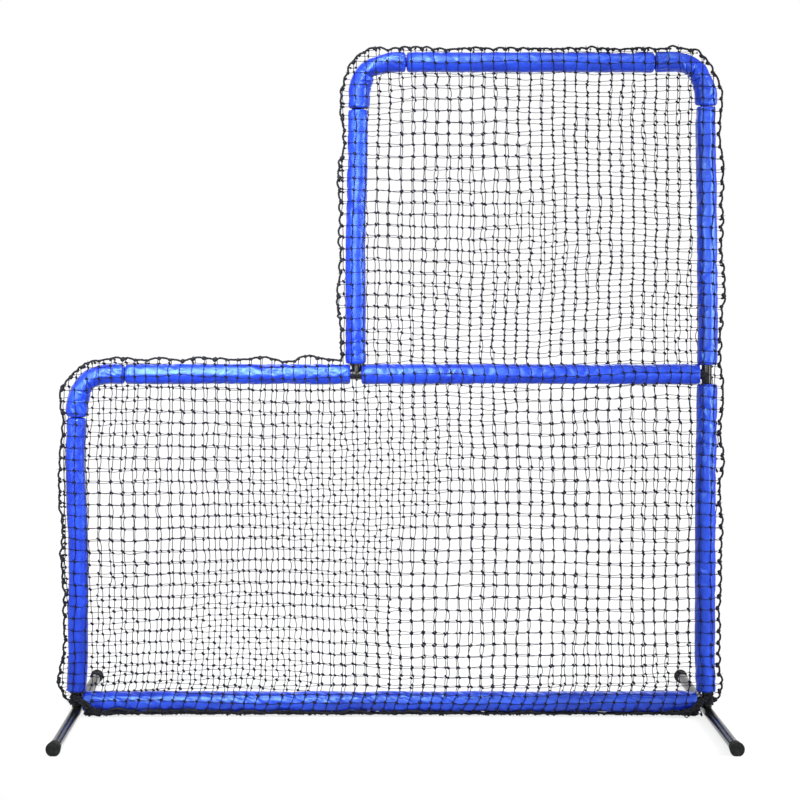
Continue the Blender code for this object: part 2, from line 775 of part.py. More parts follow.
def build_border_rope(name):
    """Build the rope that the net bag is bound to, all round the frame but its foot."""
    crossing_x = inner_x - rope_offset
    crossing_z = crossbar_height + rope_offset
    route = [(left_x - rope_offset, rope_foot_height)]
    route += reversed(rope_corner(left_x, crossbar_height, 1))
    route += arc_points(crossing_x - rope_inner_bend, crossing_z + rope_inner_bend, rope_inner_bend,
                        -math.pi / 2, math.pi / 2, rope_bend_steps)
    route += reversed(rope_corner(inner_x, top_rail_height, 1))
    route += rope_corner(right_x, top_rail_height, -1)
    route.append((right_x + rope_offset, rope_foot_height))
    stations = [(x, 0.0, z, rope_radius) for x, z in route]
    curve = route_curve(name, stations, rope_radius, rope_bevel_resolution, caps=True)
    add_object(name, mesh_from_curve(name, curve), border_twine, parent=frame_origin)


def build_hem(name):
    """Build the gathered hem that closes the bag under the bottom rail."""
    ends = (-hem_half_length, hem_half_length)
    stations = [(x, 0.0, hem_height, hem_radius) for x in ends]
    curve = route_curve(name, stations, hem_radius, rope_bevel_resolution, caps=True)
    add_object(name, mesh_from_curve(name, curve), net_twine, parent=frame_origin)


def build_tubes():
    """Build the fittings and tubes of the frame."""
    build_elbow("elbow_top_left", inner_x, top_rail_height, 1)
    build_elbow("elbow_top_right", right_x, top_rail_height, -1)
    build_elbow("elbow_low_left", left_x, crossbar_height, 1)
    reach = tee_arm + button_setback
    build_tee("tee_left", inner_x, crossbar_height, TURN_TO_X, UPRIGHT, {
        "rail": (inner_x - reach, crossbar_height),
        "crossbar": (inner_x + reach, crossbar_height),
        "post": (inner_x, crossbar_height + reach),
    })
    build_tee("tee_right", right_x, crossbar_height, UPRIGHT, (0.0, -math.pi / 2, 0.0), {
        "crossbar": (right_x - reach, crossbar_height),
        "upper": (right_x, crossbar_height + reach),
        "lower": (right_x, crossbar_height - reach),
    })
    past_elbow = elbow_arm + touch_gap
    past_tee = tee_arm + touch_gap
    build_straight_tube("top_rail", (inner_x + past_elbow, top_rail_height),
                        (right_x - past_elbow, top_rail_height), True)
    build_straight_tube("inner_post", (inner_x, crossbar_height + past_tee),
                        (inner_x, top_rail_height - past_elbow), False)
    build_straight_tube("right_post_upper", (right_x, crossbar_height + past_tee),
                        (right_x, top_rail_height - past_elbow), False)
    build_straight_tube("low_top_rail", (left_x + past_elbow, crossbar_height),
                        (inner_x - past_tee, crossbar_height), True)
    build_straight_tube("crossbar", (inner_x + past_tee, crossbar_height),
                        (right_x - past_tee, crossbar_height), True)
    past_post = tube_radius + rail_end_gap
    build_straight_tube("bottom_rail", (left_x + past_post, bottom_rail_height),
                        (right_x - past_post, bottom_rail_height), True, False, False)
    build_foot_post("left_post", left_x, crossbar_height - past_elbow, 1)
    build_foot_post("right_post_lower", right_x, crossbar_height - past_tee, -1)


def build_snap_buttons():
    """Build a snap button in every locked slip joint, its tail towards the fitting."""
    elbow_reach = elbow_arm + button_setback
    tee_reach = tee_arm + button_setback
    build_snap_button("snap_button_top_left_rail", inner_x + elbow_reach, top_rail_height, (-1, 0))
    build_snap_button("snap_button_top_left_post", inner_x, top_rail_height - elbow_reach, (0, 1))
    build_snap_button("snap_button_top_right_rail", right_x - elbow_reach, top_rail_height, (1, 0))
    build_snap_button("snap_button_top_right_post", right_x, top_rail_height - elbow_reach, (0, 1))
    build_snap_button("snap_button_low_left_rail", left_x + elbow_reach, crossbar_height, (-1, 0))
    build_snap_button("snap_button_low_left_post", left_x, crossbar_height - elbow_reach, (0, 1))
    build_snap_button("snap_button_tee_left_rail", inner_x - tee_reach, crossbar_height, (1, 0))
    build_snap_button("snap_button_tee_left_crossbar", inner_x + tee_reach, crossbar_height, (-1, 0))
    build_snap_button("snap_button_tee_left_post", inner_x, crossbar_height + tee_reach, (0, -1))
    build_snap_button("snap_button_tee_right_crossbar", right_x - tee_reach, crossbar_height, (1, 0))
    build_snap_button("snap_button_tee_right_upper", right_x, crossbar_height + tee_reach, (0, -1))
    build_snap_button("snap_button_tee_right_lower", right_x, crossbar_height - tee_reach, (0, 1))


def build_pads():
    """Build the pads, straight and bent, that cover the frame."""
    build_elbow_pad("top_left", inner_x, top_rail_height, 1, top_left_pad_on_rail, top_left_pad_on_post)
    build_elbow_pad("top_right", right_x, top_rail_height, -1, top_right_pad_on_rail,
                    top_right_pad_on_post)
    build_elbow_pad("low_left", left_x, crossbar_height, 1, low_left_pad_on_rail, low_left_pad_on_post)
    past_bend = bend_radius + pad_break
    build_straight_pad("top_rail", (inner_x + past_bend + top_left_pad_on_rail, top_rail_height),
                       (right_x - past_bend - top_right_pad_on_rail, top_rail_height), True)
    left_reach = tube_radius + tee_left_bare
    right_reach = tube_radius + tee_right_bare
    build_straight_pad("low_top_rail", (left_x + past_bend + low_left_pad_on_rail, crossbar_height),
                       (inner_x - left_reach, crossbar_height), True)
    build_straight_pad("crossbar", (inner_x + left_reach, crossbar_height),
                       (right_x - right_reach, crossbar_height), True)
    build_straight_pad("inner_post", (inner_x, crossbar_height + nested_setback(left_reach)),
                       (inner_x, top_rail_height - past_bend - top_left_pad_on_post), False)
    right_setback = nested_setback(right_reach)
    build_straight_pad("right_post_upper", (right_x, crossbar_height + right_setback),
                       (right_x, top_rail_height - past_bend - top_right_pad_on_post), False)
    build_straight_pad("right_post_lower", (right_x, bottom_rail_height + right_foot_bare),
                       (right_x, crossbar_height - right_setback), False)
    bottom_reach = tube_radius + bottom_left_bare
    build_straight_pad("left_post", (left_x, bottom_rail_height + nested_setback(bottom_reach)),
                       (left_x, crossbar_height - past_bend - low_left_pad_on_post), False)
    build_straight_pad("bottom_rail", (left_x + bottom_reach, bottom_rail_height),
                       (right_x - tube_radius - bottom_right_bare, bottom_rail_height), True)


def build_legs():
    """Build both cross legs with their caps, each under an empty on its pull-off axis."""
    for label, post_x in (("left", left_x), ("right", right_x)):
        pull = add_empty(f"{label}_leg_pull", (post_x, 0.0, leg_axis_height))
        build_leg(f"{label}_leg", post_x, pull)
        build_leg_cap(f"{label}_leg_cap_front", post_x, -1, pull)
        build_leg_cap(f"{label}_leg_cap_rear", post_x, 1, pull)


def build_net():
    """Build the net bag's layers, border rope and hem."""
    for label, side in (("front", -1), ("rear", 1)):
        build_tall_net(f"net_{label}_tall", side)
        build_low_net(f"net_{label}_low", side)
    build_border_rope("net_border_rope")
    build_hem("net_bottom_hem")


build_tubes()
build_snap_buttons()
build_pads()
build_legs()
build_net()
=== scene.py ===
"""The looks of a padded baseball L screen, built round its packed tube frame.

New pieces are surfaces worked out with numpy, as whole arrays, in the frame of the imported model:
metres, the net facing -Y and +Y, the ground at height zero. Every piece rides on one of its bodies.
"""

import json
import logging
import math
from dataclasses import dataclass, field
from enum import Enum

import bpy
import numpy as np
from mathutils import Matrix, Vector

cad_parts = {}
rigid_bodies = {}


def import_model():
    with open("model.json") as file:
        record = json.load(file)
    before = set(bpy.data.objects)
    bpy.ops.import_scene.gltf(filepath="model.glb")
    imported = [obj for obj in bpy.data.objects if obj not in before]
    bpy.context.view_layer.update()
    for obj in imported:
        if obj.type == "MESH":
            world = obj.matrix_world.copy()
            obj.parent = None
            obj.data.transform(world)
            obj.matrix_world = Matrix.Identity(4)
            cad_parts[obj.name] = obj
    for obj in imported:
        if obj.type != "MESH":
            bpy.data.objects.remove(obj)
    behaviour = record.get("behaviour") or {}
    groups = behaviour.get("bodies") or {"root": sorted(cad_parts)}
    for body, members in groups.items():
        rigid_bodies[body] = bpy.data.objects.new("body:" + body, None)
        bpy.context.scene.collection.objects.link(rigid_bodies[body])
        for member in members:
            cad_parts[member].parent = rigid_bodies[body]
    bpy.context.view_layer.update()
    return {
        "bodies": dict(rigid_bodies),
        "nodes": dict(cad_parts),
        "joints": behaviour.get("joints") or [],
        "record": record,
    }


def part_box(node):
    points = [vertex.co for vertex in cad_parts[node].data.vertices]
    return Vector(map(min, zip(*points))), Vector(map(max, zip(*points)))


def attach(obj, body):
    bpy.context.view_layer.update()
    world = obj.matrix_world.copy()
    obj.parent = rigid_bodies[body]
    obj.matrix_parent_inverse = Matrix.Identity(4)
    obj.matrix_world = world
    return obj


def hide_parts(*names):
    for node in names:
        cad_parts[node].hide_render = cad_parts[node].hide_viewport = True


LOG = logging.getLogger("l_screen")

Array = np.ndarray
Pair = tuple[float, float]
Triple = tuple[float, float, float]
Socket = bpy.types.NodeSocket
Material = bpy.types.Material

TAU = 2 * math.pi
UP = np.array([0.0, 0.0, 1.0])
BACK = np.array([0.0, 1.0, 0.0])
RIGHT = np.array([1.0, 0.0, 0.0])


class Body(Enum):
    """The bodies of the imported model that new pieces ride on."""

    FRAME = "frame"
    LEFT_LEG = "left_leg"
    RIGHT_LEG = "right_leg"


class Slot(Enum):
    """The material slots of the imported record."""

    ENAMEL = "black_enamel"
    VINYL = "blue_vinyl"
    FOAM = "grey_foam"
    RUBBER = "cap_rubber"
    NET = "net_twine"
    ROPE = "border_twine"
    ZINC = "zinc_steel"


class Layer(Enum):
    """The two layers of the net bag, by the sign of the side they hang on."""

    FRONT = -1
    REAR = 1


@dataclass(frozen=True)
class Layout:
    """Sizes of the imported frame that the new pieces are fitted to, in metres."""

    screen_width: float = 2.362
    tall_width: float = 1.3124
    top_rail: float = 2.451
    crossbar: float = 1.282
    bottom_rail: float = 0.0545
    tube_radius: float = 0.01905
    tube_wall: float = 0.0016
    touch_gap: float = 0.0003
    bend_radius: float = 0.13
    elbow_arm: float = 0.178
    tee_arm: float = 0.09
    spigot_length: float = 0.06
    rope_offset: float = 0.0551
    rope_bend: float = 0.02
    leg_length: float = 1.2192
    leg_axis: float = 0.0235
    leg_spigot: float = 0.13
    cap_radius: float = 0.026
    cap_length: float = 0.045
    cap_wall: float = 0.005

    @property
    def left(self) -> float:
        """Axis of the left post along X."""
        return -self.screen_width / 2

    @property
    def right(self) -> float:
        """Axis of the right post along X."""
        return self.screen_width / 2

    @property
    def inner(self) -> float:
        """Axis of the inner post along X."""
        return self.right - self.tall_width

    @property
    def bore(self) -> float:
        """Inner radius of the tubes."""
        return self.tube_radius - self.tube_wall

    @property
    def spigot(self) -> float:
        """Outer radius of the slip fittings."""
        return self.bore - self.touch_gap

    @property
    def spigot_bore(self) -> float:
        """Inner radius of the slip fittings."""
        return self.spigot - self.tube_wall


def smooth(values: Array) -> Array:
    """Ease values from 0 to 1, as three squares less two cubes of the value.

    Args:
        values: Any array; it is cut off below 0 and above 1.

    Returns:
        The eased array.
    """
    held = np.clip(values, 0.0, 1.0)
    return held * held * (3.0 - 2.0 * held)


def bell(distance: Array | float, width: float) -> Array:
    """Give a bell curve, which is one in the middle and has fallen to 1/e at its width."""
    return np.exp(-(distance / width) ** 2)


def length_along(line: Array) -> Array:
    """Give the length along a line of places at each of them, from zero."""
    return np.concatenate([[0.0], np.cumsum(np.linalg.norm(np.diff(line, axis=0), axis=1))])


def lifted(points: Array, least: float) -> Array:
    """Lift the points below a height up to it, in the array itself, and give it back."""
    points[..., 2] = np.maximum(points[..., 2], least)
    return points


def full_turn(count: int) -> Array:
    """List evenly spaced angles of a full turn, without the one that closes it."""
    return TAU * np.arange(count) / count


def wander(x: Array, z: Array, wavelength: float, seed: int) -> Array:
    """Give a seeded smooth noise over a plane: a sum of sine waves of mixed directions.

    Args:
        x: First coordinate of each place.
        z: Second coordinate of each place, of the same shape.
        wavelength: Length of the middle wave in metres.
        seed: Seed of the directions and phases.

    Returns:
        Noise with a mean square of one.
    """
    rng = np.random.default_rng(seed)
    waves = 7
    turn = rng.uniform(0.0, TAU, waves)
    rate = TAU / wavelength * rng.uniform(0.65, 1.45, waves)
    phase = rng.uniform(0.0, TAU, waves)
    x, z = np.asarray(x, float)[..., None], np.asarray(z, float)[..., None]
    angle = x * rate * np.cos(turn) + z * rate * np.sin(turn) + phase
    return np.sin(angle).sum(-1) * math.sqrt(2.0 / waves)


@dataclass
class Shell:
    """Points with the faces between them, as whole arrays.

    Each entry of faces is an array (faces, corners), and the same entry of uvs an array
    (faces, corners, 2) or None.
    """

    points: Array
    faces: list[Array]
    uvs: list[Array | None] = field(default_factory=list)

    @staticmethod
    def joined(shells: "list[Shell]") -> "Shell":
        """Put several shells into one.

        Args:
            shells: The shells, each with its own numbering of points.

        Returns:
            One shell that holds them all.
        """
        starts = np.cumsum([0] + [len(shell.points) for shell in shells[:-1]])
        faces = [face + start for shell, start in zip(shells, starts) for face in shell.faces]
        uvs = [uv for shell in shells for uv in (shell.uvs or [None] * len(shell.faces))]
        return Shell(np.concatenate([shell.points for shell in shells]), faces, uvs)

    def put(self, name: str, material: Material,
            sharp_deg: float | None = None) -> bpy.types.Object:
        """Make an object of the shell at the origin.

        Args:
            name: Name of the object.
            material: Its finish.
            sharp_deg: Angle past which an edge stays sharp, or None for an all smooth piece.

        Returns:
            The object, linked to the scene.
        """
        mesh = bpy.data.meshes.new(name)
        loops = np.concatenate([face.ravel() for face in self.faces]).astype(np.int32)
        counts = np.concatenate([np.full(len(face), face.shape[1]) for face in self.faces])
        starts = np.concatenate([[0], np.cumsum(counts)[:-1]]).astype(np.int32)
        mesh.vertices.add(len(self.points))
        mesh.vertices.foreach_set("co", self.points.astype(np.float32).ravel())
        mesh.loops.add(len(loops))
        mesh.loops.foreach_set("vertex_index", loops)
        mesh.polygons.add(len(counts))
        mesh.polygons.foreach_set("loop_start", starts)
        mesh.polygons.foreach_set("use_smooth", np.ones(len(counts), bool))
        mesh.update(calc_edges=True)
        if any(uv is not None for uv in self.uvs):
            flat = [np.zeros((face.size, 2)) if uv is None else uv.reshape(-1, 2)
                    for face, uv in zip(self.faces, self.uvs)]
            layer = mesh.uv_layers.new(name="along")
            layer.data.foreach_set("uv", np.concatenate(flat).astype(np.float32).ravel())
        mesh.validate()
        mesh.materials.append(material)
        if sharp_deg is not None:
            mesh.set_sharp_from_angle(angle=math.radians(sharp_deg))
        obj = bpy.data.objects.new(name, mesh)
        bpy.context.scene.collection.objects.link(obj)
        return obj


def grid_faces(rows: int, columns: int, wrap_rows: bool = False) -> Array:
    """Number the four corners of each face of a grid that closes on itself round its columns.

    Args:
        rows: Number of rings of points.
        columns: Number of points in each ring.
        wrap_rows: Whether the last ring joins the first.

    Returns:
        An array (faces, 4) whose faces look outward where the rings run along the axis.
    """
    i = np.arange(rows if wrap_rows else rows - 1)[:, None]
    j = np.arange(columns)[None, :]
    i2, j2 = (i + 1) % rows, (j + 1) % columns
    corners = [i * columns + j, i * columns + j2, i2 * columns + j2, i2 * columns + j]
    return np.stack(np.broadcast_arrays(*corners), axis=-1).reshape(-1, 4)


def grid_uvs(along: Array, columns: int) -> Array:
    """Give the corners of such a grid their place: round the ring from 0 to 1, and along it.

    Args:
        along: The second coordinate of each ring.
        columns: Number of points in each ring.

    Returns:
        An array (faces, 4, 2) for the open grid.
    """
    i = np.arange(len(along) - 1)[:, None] + np.zeros(columns, int)[None, :]
    j = np.arange(columns)[None, :] + np.zeros(len(along) - 1, int)[:, None]
    u = np.stack([j, j + 1, j + 1, j], -1) / columns
    v = along[np.stack([i, i, i + 1, i + 1], -1)]
    return np.stack([u, v], -1).reshape(-1, 4, 2)


def unit(vectors: Array) -> Array:
    """Scale vectors to a length of one."""
    return vectors / np.maximum(np.linalg.norm(vectors, axis=-1, keepdims=True), 1e-12)


def ring_axes(paths: Array, reference: Array, closed: bool = False) -> tuple[Array, Array]:
    """Give the two directions across each station of some paths.

    The first is the part of the reference at right angles to the path, the second the cross
    product of the path's direction and the first.

    Args:
        paths: Stations, of shape (paths, stations, 3).
        reference: Direction that no path runs along, broadcast to the paths.
        closed: Whether each path's end joins its start.

    Returns:
        Two arrays of unit vectors, each shaped as the paths.
    """
    if closed:
        tangent = unit(np.roll(paths, -1, axis=1) - np.roll(paths, 1, axis=1))
    else:
        tangent = unit(np.gradient(paths, axis=1))
    held = np.broadcast_to(reference, paths.shape)
    first = unit(held - (held * tangent).sum(-1, keepdims=True) * tangent)
    return first, np.cross(tangent, first)


def tubes(paths: Array, radius: Array | float, sides: int, reference: Array,
          closed: bool = False, uv: bool = True) -> Shell:
    """Carry a round section along many paths at once, with flat caps on open ends.

    A point is the station plus the radius times the cosine and sine of its angle along the two
    directions across the path.

    Args:
        paths: Stations, of shape (paths, stations, 3).
        radius: One radius, or an array that broadcasts to (paths, stations, sides).
        sides: Number of points round the section.
        reference: Direction that no path runs along.
        closed: Whether each path's end joins its start.
        uv: Whether to write the place round and along each tube.

    Returns:
        One shell with all the tubes.
    """
    count, stations = paths.shape[:2]
    first, second = ring_axes(paths, reference, closed)
    angle = np.broadcast_to(full_turn(sides), (count, stations, sides))
    reach = np.broadcast_to(radius, (count, stations, sides))[..., None]
    ring = (np.cos(angle)[..., None] * first[:, :, None]
            + np.sin(angle)[..., None] * second[:, :, None])
    points = (paths[:, :, None] + reach * ring).reshape(-1, 3)
    starts = (np.arange(count) * stations * sides)[:, None, None]
    quads = (grid_faces(stations, sides, closed)[None] + starts).reshape(-1, 4)
    faces: list[Array] = [quads]
    uvs: list[Array | None] = [None]
    if uv and not closed:
        steps = np.linalg.norm(np.diff(paths, axis=1), axis=-1)
        along = np.concatenate([np.zeros((count, 1)), np.cumsum(steps, axis=1)], axis=1)
        base = grid_uvs(np.arange(stations), sides)
        v = along[:, base[..., 1].astype(int)]
        u = np.broadcast_to(base[..., 0], v.shape)
        uvs = [np.stack([u, v], -1).reshape(-1, 4, 2)]
    if not closed:
        ring_order = np.arange(sides)[None]
        first_cap = ring_order[:, ::-1] + starts[:, 0]
        last_cap = ring_order + (stations - 1) * sides + starts[:, 0]
        faces += [first_cap, last_cap]
        uvs += [None, None]
    return Shell(points, faces, uvs)


def turned(profile: list[Pair], place: Triple, axis: Array,
           sides: int = 48, closed: bool = False) -> Shell:
    """Turn a profile about an axis; a point is the place, its height along and radius across.

    Args:
        profile: Pairs (radius, height) that run up the outside; an end radius of zero is a pole.
        place: Where height zero of the axis lies.
        axis: Unit vector of the axis.
        sides: Number of points round it.
        closed: Whether the profile's end joins its start, as in a pipe's wall.

    Returns:
        The shell, with its poles closed.
    """
    rows = np.array(profile, float)
    low_pole, high_pole = rows[0, 0] < 1e-9 and not closed, rows[-1, 0] < 1e-9 and not closed
    body = rows[int(low_pole): len(rows) - int(high_pole)]
    first = RIGHT if abs(axis[0]) < 0.5 else BACK
    second = np.cross(axis, first)
    angle = full_turn(sides)
    across = np.cos(angle)[:, None] * first + np.sin(angle)[:, None] * second
    points = np.asarray(place) + body[:, 1, None, None] * axis + body[:, 0, None, None] * across
    count = len(body)
    points = points.reshape(-1, 3)
    faces = [grid_faces(count, sides, closed)]
    j = np.arange(sides)
    poles = ((low_pole, 0, rows[0, 1], 1), (high_pole, count - 1, rows[-1, 1], -1))
    for pole, ring, height, order in poles:
        if pole:
            tip = len(points)
            points = np.vstack([points, np.asarray(place) + height * axis])
            pair = [ring * sides + (j + 1) % sides, ring * sides + j][::order]
            faces.append(np.stack([np.full(sides, tip), *pair], -1))
    return Shell(points, faces)


def pipe(outer: float, inner: float, low: float, high: float, place: Triple, axis: Array) -> Shell:
    """Make a straight open tube with eased edges, between two heights along an axis.

    Args:
        outer: Outer radius.
        inner: Inner radius.
        low: Height of its first end.
        high: Height of its second end.
        place: Where height zero of the axis lies.
        axis: Unit vector of the axis.

    Returns:
        The closed wall, up its outside and down its inside.
    """
    ease = 0.0004
    wall = [(outer - ease, low), (outer, low + ease), (outer, high - ease), (outer - ease, high),
            (inner + ease, high), (inner, high - ease), (inner, low + ease), (inner + ease, low)]
    return turned(wall, place, axis, closed=True)


def dressed(obj: bpy.types.Object, body: Body, slot: Slot, *nodes: str) -> bpy.types.Object:
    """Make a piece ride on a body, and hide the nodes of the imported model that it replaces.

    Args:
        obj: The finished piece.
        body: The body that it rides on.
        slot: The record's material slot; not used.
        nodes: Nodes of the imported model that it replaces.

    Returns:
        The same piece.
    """
    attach(obj, body.value)
    if nodes:
        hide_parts(*nodes)
    LOG.info("%s: %d faces", obj.name, len(obj.data.polygons))
    return obj


class NodeKit:
    """Nodes under construction in one tree."""

    def __init__(self, tree: bpy.types.NodeTree) -> None:
        """Keep the tree that new nodes go into."""
        self.tree = tree

    def add(self, kind: str, inputs: dict, **settings: object) -> bpy.types.Node:
        """Add a node.

        Args:
            kind: Blender's name of the node.
            inputs: Values or sockets by the name or number of the input.
            settings: Properties of the node.

        Returns:
            The node.
        """
        node = self.tree.nodes.new(kind)
        for key, value in settings.items():
            setattr(node, key, value)
        for key, value in inputs.items():
            if isinstance(value, Socket):
                self.tree.links.new(value, node.inputs[key])
            else:
                node.inputs[key].default_value = value
        return node

    def math(self, operation: str, first: object, second: object = 0.0) -> Socket:
        """Add a calculation on two values or sockets and return the result."""
        return self.add("ShaderNodeMath", {0: first, 1: second}, operation=operation).outputs[0]

    def shown(self, factor: Socket, first: Socket, second: Socket, output: str) -> None:
        """Mix two shaders and link the mix to the tree's output node of that name."""
        mix = self.add("ShaderNodeMixShader", {0: factor, 1: first, 2: second})
        self.tree.links.new(mix.outputs[0], self.tree.nodes[output].inputs[0])


class Recipe(NodeKit):
    """A node material under construction, on Object coordinates or the piece's own UV map."""

    def __init__(self, name: str) -> None:
        """Start a material with its one Principled shader."""
        self.material = bpy.data.materials.new(name)
        self.material.use_nodes = True
        super().__init__(self.material.node_tree)
        self.shader = self.tree.nodes["Principled BSDF"]
        self.place = self.add("ShaderNodeTexCoord", {})

    def noise(self, scale: float, detail: float = 2.0, roughness: float = 0.5) -> Socket:
        """Add a noise on Object coordinates and return its value."""
        inputs = {"Vector": self.place.outputs["Object"], "Scale": scale, "Detail": detail,
                  "Roughness": roughness}
        return self.add("ShaderNodeTexNoise", inputs).outputs["Fac"]

    def cells(self, scale: float) -> Socket:
        """Add cells on Object coordinates and return the distance from their middles."""
        inputs = {"Vector": self.place.outputs["Object"], "Scale": scale}
        return self.add("ShaderNodeTexVoronoi", inputs).outputs["Distance"]

    def ramp(self, value: Socket, low: float, high: float, to_low: float,
             to_high: float) -> Socket:
        """Map a value from one range to another, eased, and return the result."""
        inputs = {"Value": value, "From Min": low, "From Max": high, "To Min": to_low,
                  "To Max": to_high}
        return self.add("ShaderNodeMapRange", inputs, interpolation_type="SMOOTHSTEP").outputs[0]

    def blend(self, factor: Socket, first: object, second: object) -> Socket:
        """Mix two colours, each a tuple or a socket, and return the result."""
        inputs = {0: factor, 6: (*first, 1.0) if isinstance(first, tuple) else first,
                  7: (*second, 1.0) if isinstance(second, tuple) else second}
        return self.add("ShaderNodeMix", inputs, data_type="RGBA").outputs[2]

    def bump(self, height: Socket, distance: float, strength: float = 1.0,
             onto: Socket | None = None) -> Socket:
        """Add a bump of a height in metres, on top of another one if given, and return its normal."""
        inputs = {"Height": height, "Distance": distance, "Strength": strength}
        if onto is not None:
            inputs["Normal"] = onto
        return self.add("ShaderNodeBump", inputs).outputs[0]

    def set(self, **inputs: object) -> None:
        """Set or link inputs of the shader; an underscore in a name stands for a space."""
        for key, value in inputs.items():
            socket = self.shader.inputs[key.replace("_", " ")]
            if isinstance(value, Socket):
                self.tree.links.new(value, socket)
            else:
                socket.default_value = (*value, 1.0) if isinstance(value, tuple) else value


@dataclass(frozen=True)
class VinylFinish:
    """Glossy blue vinyl on woven backing, with a sewn closure along it and hems at its ends."""

    deep: Triple = (0.004, 0.015, 0.33)
    pale: Triple = (0.007, 0.029, 0.44)
    sheen: Triple = (0.45, 0.86, 1.0)
    seam_place: float = 0.1
    roughness: float = 0.37

    def material(self, name: str) -> Material:
        """Make the material; UV runs round the cover and in metres from its nearer end."""
        recipe = Recipe(name)
        uv = recipe.add("ShaderNodeSeparateXYZ", {0: recipe.place.outputs["UV"]})
        round_cover, from_end = uv.outputs[0], uv.outputs[1]
        cloud = recipe.ramp(recipe.noise(7.0, 3.0), 0.35, 0.65, 0.0, 1.0)
        colour = recipe.blend(cloud, self.deep, self.pale)
        seam = recipe.math("ABSOLUTE", recipe.math("SUBTRACT", round_cover, self.seam_place))
        seam_line = recipe.ramp(seam, 0.002, 0.007, 1.0, 0.0)
        hem = recipe.math("ABSOLUTE", recipe.math("SUBTRACT", from_end, 0.016))
        hem_line = recipe.ramp(hem, 0.0005, 0.0016, 1.0, 0.0)
        stitches = recipe.math("FRACT", recipe.math("MULTIPLY", round_cover, 64.0))
        dash = recipe.ramp(stitches, 0.3, 0.4, 0.0, 1.0)
        stitch = recipe.math("MULTIPLY", hem_line, dash)
        line = recipe.math("MAXIMUM", recipe.math("MULTIPLY", seam_line, 0.55),
                           recipe.math("MULTIPLY", stitch, 0.7))
        colour = recipe.blend(line, colour, (0.004, 0.014, 0.23))
        wear = recipe.ramp(recipe.noise(38.0, 4.0, 0.6), 0.4, 0.72, self.roughness - 0.05,
                           self.roughness + 0.12)
        grain = recipe.bump(recipe.cells(520.0), 0.00009, 0.35)
        ripple = recipe.bump(recipe.noise(60.0, 3.0), 0.0006, 0.12, grain)
        raised = recipe.bump(recipe.math("MULTIPLY", line, -1.0), 0.001, 0.7, ripple)
        recipe.set(Base_Color=colour, Roughness=wear, Normal=raised, Specular_IOR_Level=0.65,
                   Specular_Tint=self.sheen)
        return recipe.material


@dataclass(frozen=True)
class EnamelFinish:
    """Gloss black enamel on steel tube, with a slight orange peel and rubbed dust."""

    colour: Triple = (0.0045, 0.005, 0.005)
    dust: Triple = (0.018, 0.02, 0.018)
    roughness: float = 0.13

    def material(self, name: str) -> Material:
        """Make the material."""
        recipe = Recipe(name)
        rubbed = recipe.ramp(recipe.noise(24.0, 5.0, 0.65), 0.52, 0.8, 0.0, 0.6)
        fine = recipe.ramp(recipe.noise(260.0, 2.0), 0.35, 0.75, -0.03, 0.06)
        rough = recipe.math("ADD", recipe.ramp(recipe.noise(11.0, 3.0), 0.3, 0.7, self.roughness,
                                               self.roughness + 0.08), fine)
        peel = recipe.bump(recipe.noise(420.0, 1.0), 0.00012, 0.35)
        recipe.set(Base_Color=recipe.blend(rubbed, self.colour, self.dust), Roughness=rough,
                   Normal=peel, Specular_IOR_Level=0.26)
        return recipe.material


@dataclass(frozen=True)
class RubberFinish:
    """Matte dark grey moulded rubber with a fine grain and pale scuffs."""

    colour: Triple = (0.008, 0.009, 0.009)
    scuffed: Triple = (0.022, 0.025, 0.024)

    def material(self, name: str) -> Material:
        """Make the material."""
        recipe = Recipe(name)
        scuff = recipe.ramp(recipe.noise(55.0, 6.0, 0.7), 0.5, 0.72, 0.0, 0.8)
        grain = recipe.bump(recipe.noise(900.0, 2.0), 0.00016, 0.5)
        rough = recipe.ramp(recipe.noise(80.0, 3.0), 0.3, 0.7, 0.58, 0.8)
        recipe.set(Base_Color=recipe.blend(scuff, self.colour, self.scuffed), Roughness=rough,
                   Normal=grain, Specular_IOR_Level=0.16)
        return recipe.material


@dataclass(frozen=True)
class FoamFinish:
    """Charcoal closed cell foam, pitted all over."""

    colour: Triple = (0.03, 0.03, 0.033)
    pale: Triple = (0.075, 0.075, 0.08)

    def material(self, name: str) -> Material:
        """Make the material."""
        recipe = Recipe(name)
        cells = recipe.cells(620.0)
        shade = recipe.ramp(cells, 0.1, 0.6, 0.0, 1.0)
        recipe.set(Base_Color=recipe.blend(shade, self.pale, self.colour), Roughness=0.95,
                   Normal=recipe.bump(cells, 0.0004, 0.6))
        return recipe.material


@dataclass(frozen=True)
class TwineFinish:
    """Tarred twine or cord: black fibres in a twist that the UV map carries along the strand, with painted
    shade that darkens the grooves between plies and lightens their crowns.
    """

    colour: Triple
    # Colour of worn fibre, and of the painted highlight on the ply crowns.
    worn_and_crown_light: Triple
    lay: float
    plies: int = 3
    roughness: float = 0.72

    def material(self, name: str) -> Material:
        """Make the material; UV runs round the strand and along it in metres."""
        recipe = Recipe(name)
        uv = recipe.add("ShaderNodeSeparateXYZ", {0: recipe.place.outputs["UV"]})
        along = recipe.math("MULTIPLY", uv.outputs[1], 1.0 / self.lay)
        twist = recipe.math("MULTIPLY", recipe.math("ADD", uv.outputs[0], along), self.plies * TAU)
        ply = recipe.ramp(recipe.math("SINE", twist), -1.0, 1.0, 0.0, 1.0)
        fibre = recipe.noise(1500.0, 2.0)
        patches = recipe.ramp(recipe.noise(90.0, 3.0), 0.35, 0.75, 0.25, 1.0)
        # Painted shade and highlight: the lighter colour sits on each ply's crown and the darker one in the
        # grooves between plies, following the bump; random patches of wear scale it.
        crown_light_and_wear = recipe.math("MULTIPLY", ply, patches)
        height = recipe.math("ADD", ply, recipe.math("MULTIPLY", fibre, 0.35))
        recipe.set(Base_Color=recipe.blend(crown_light_and_wear, self.colour, self.worn_and_crown_light), Roughness=self.roughness,
                   Normal=recipe.bump(height, 0.0004, 0.7), Specular_IOR_Level=0.07)
        return recipe.material


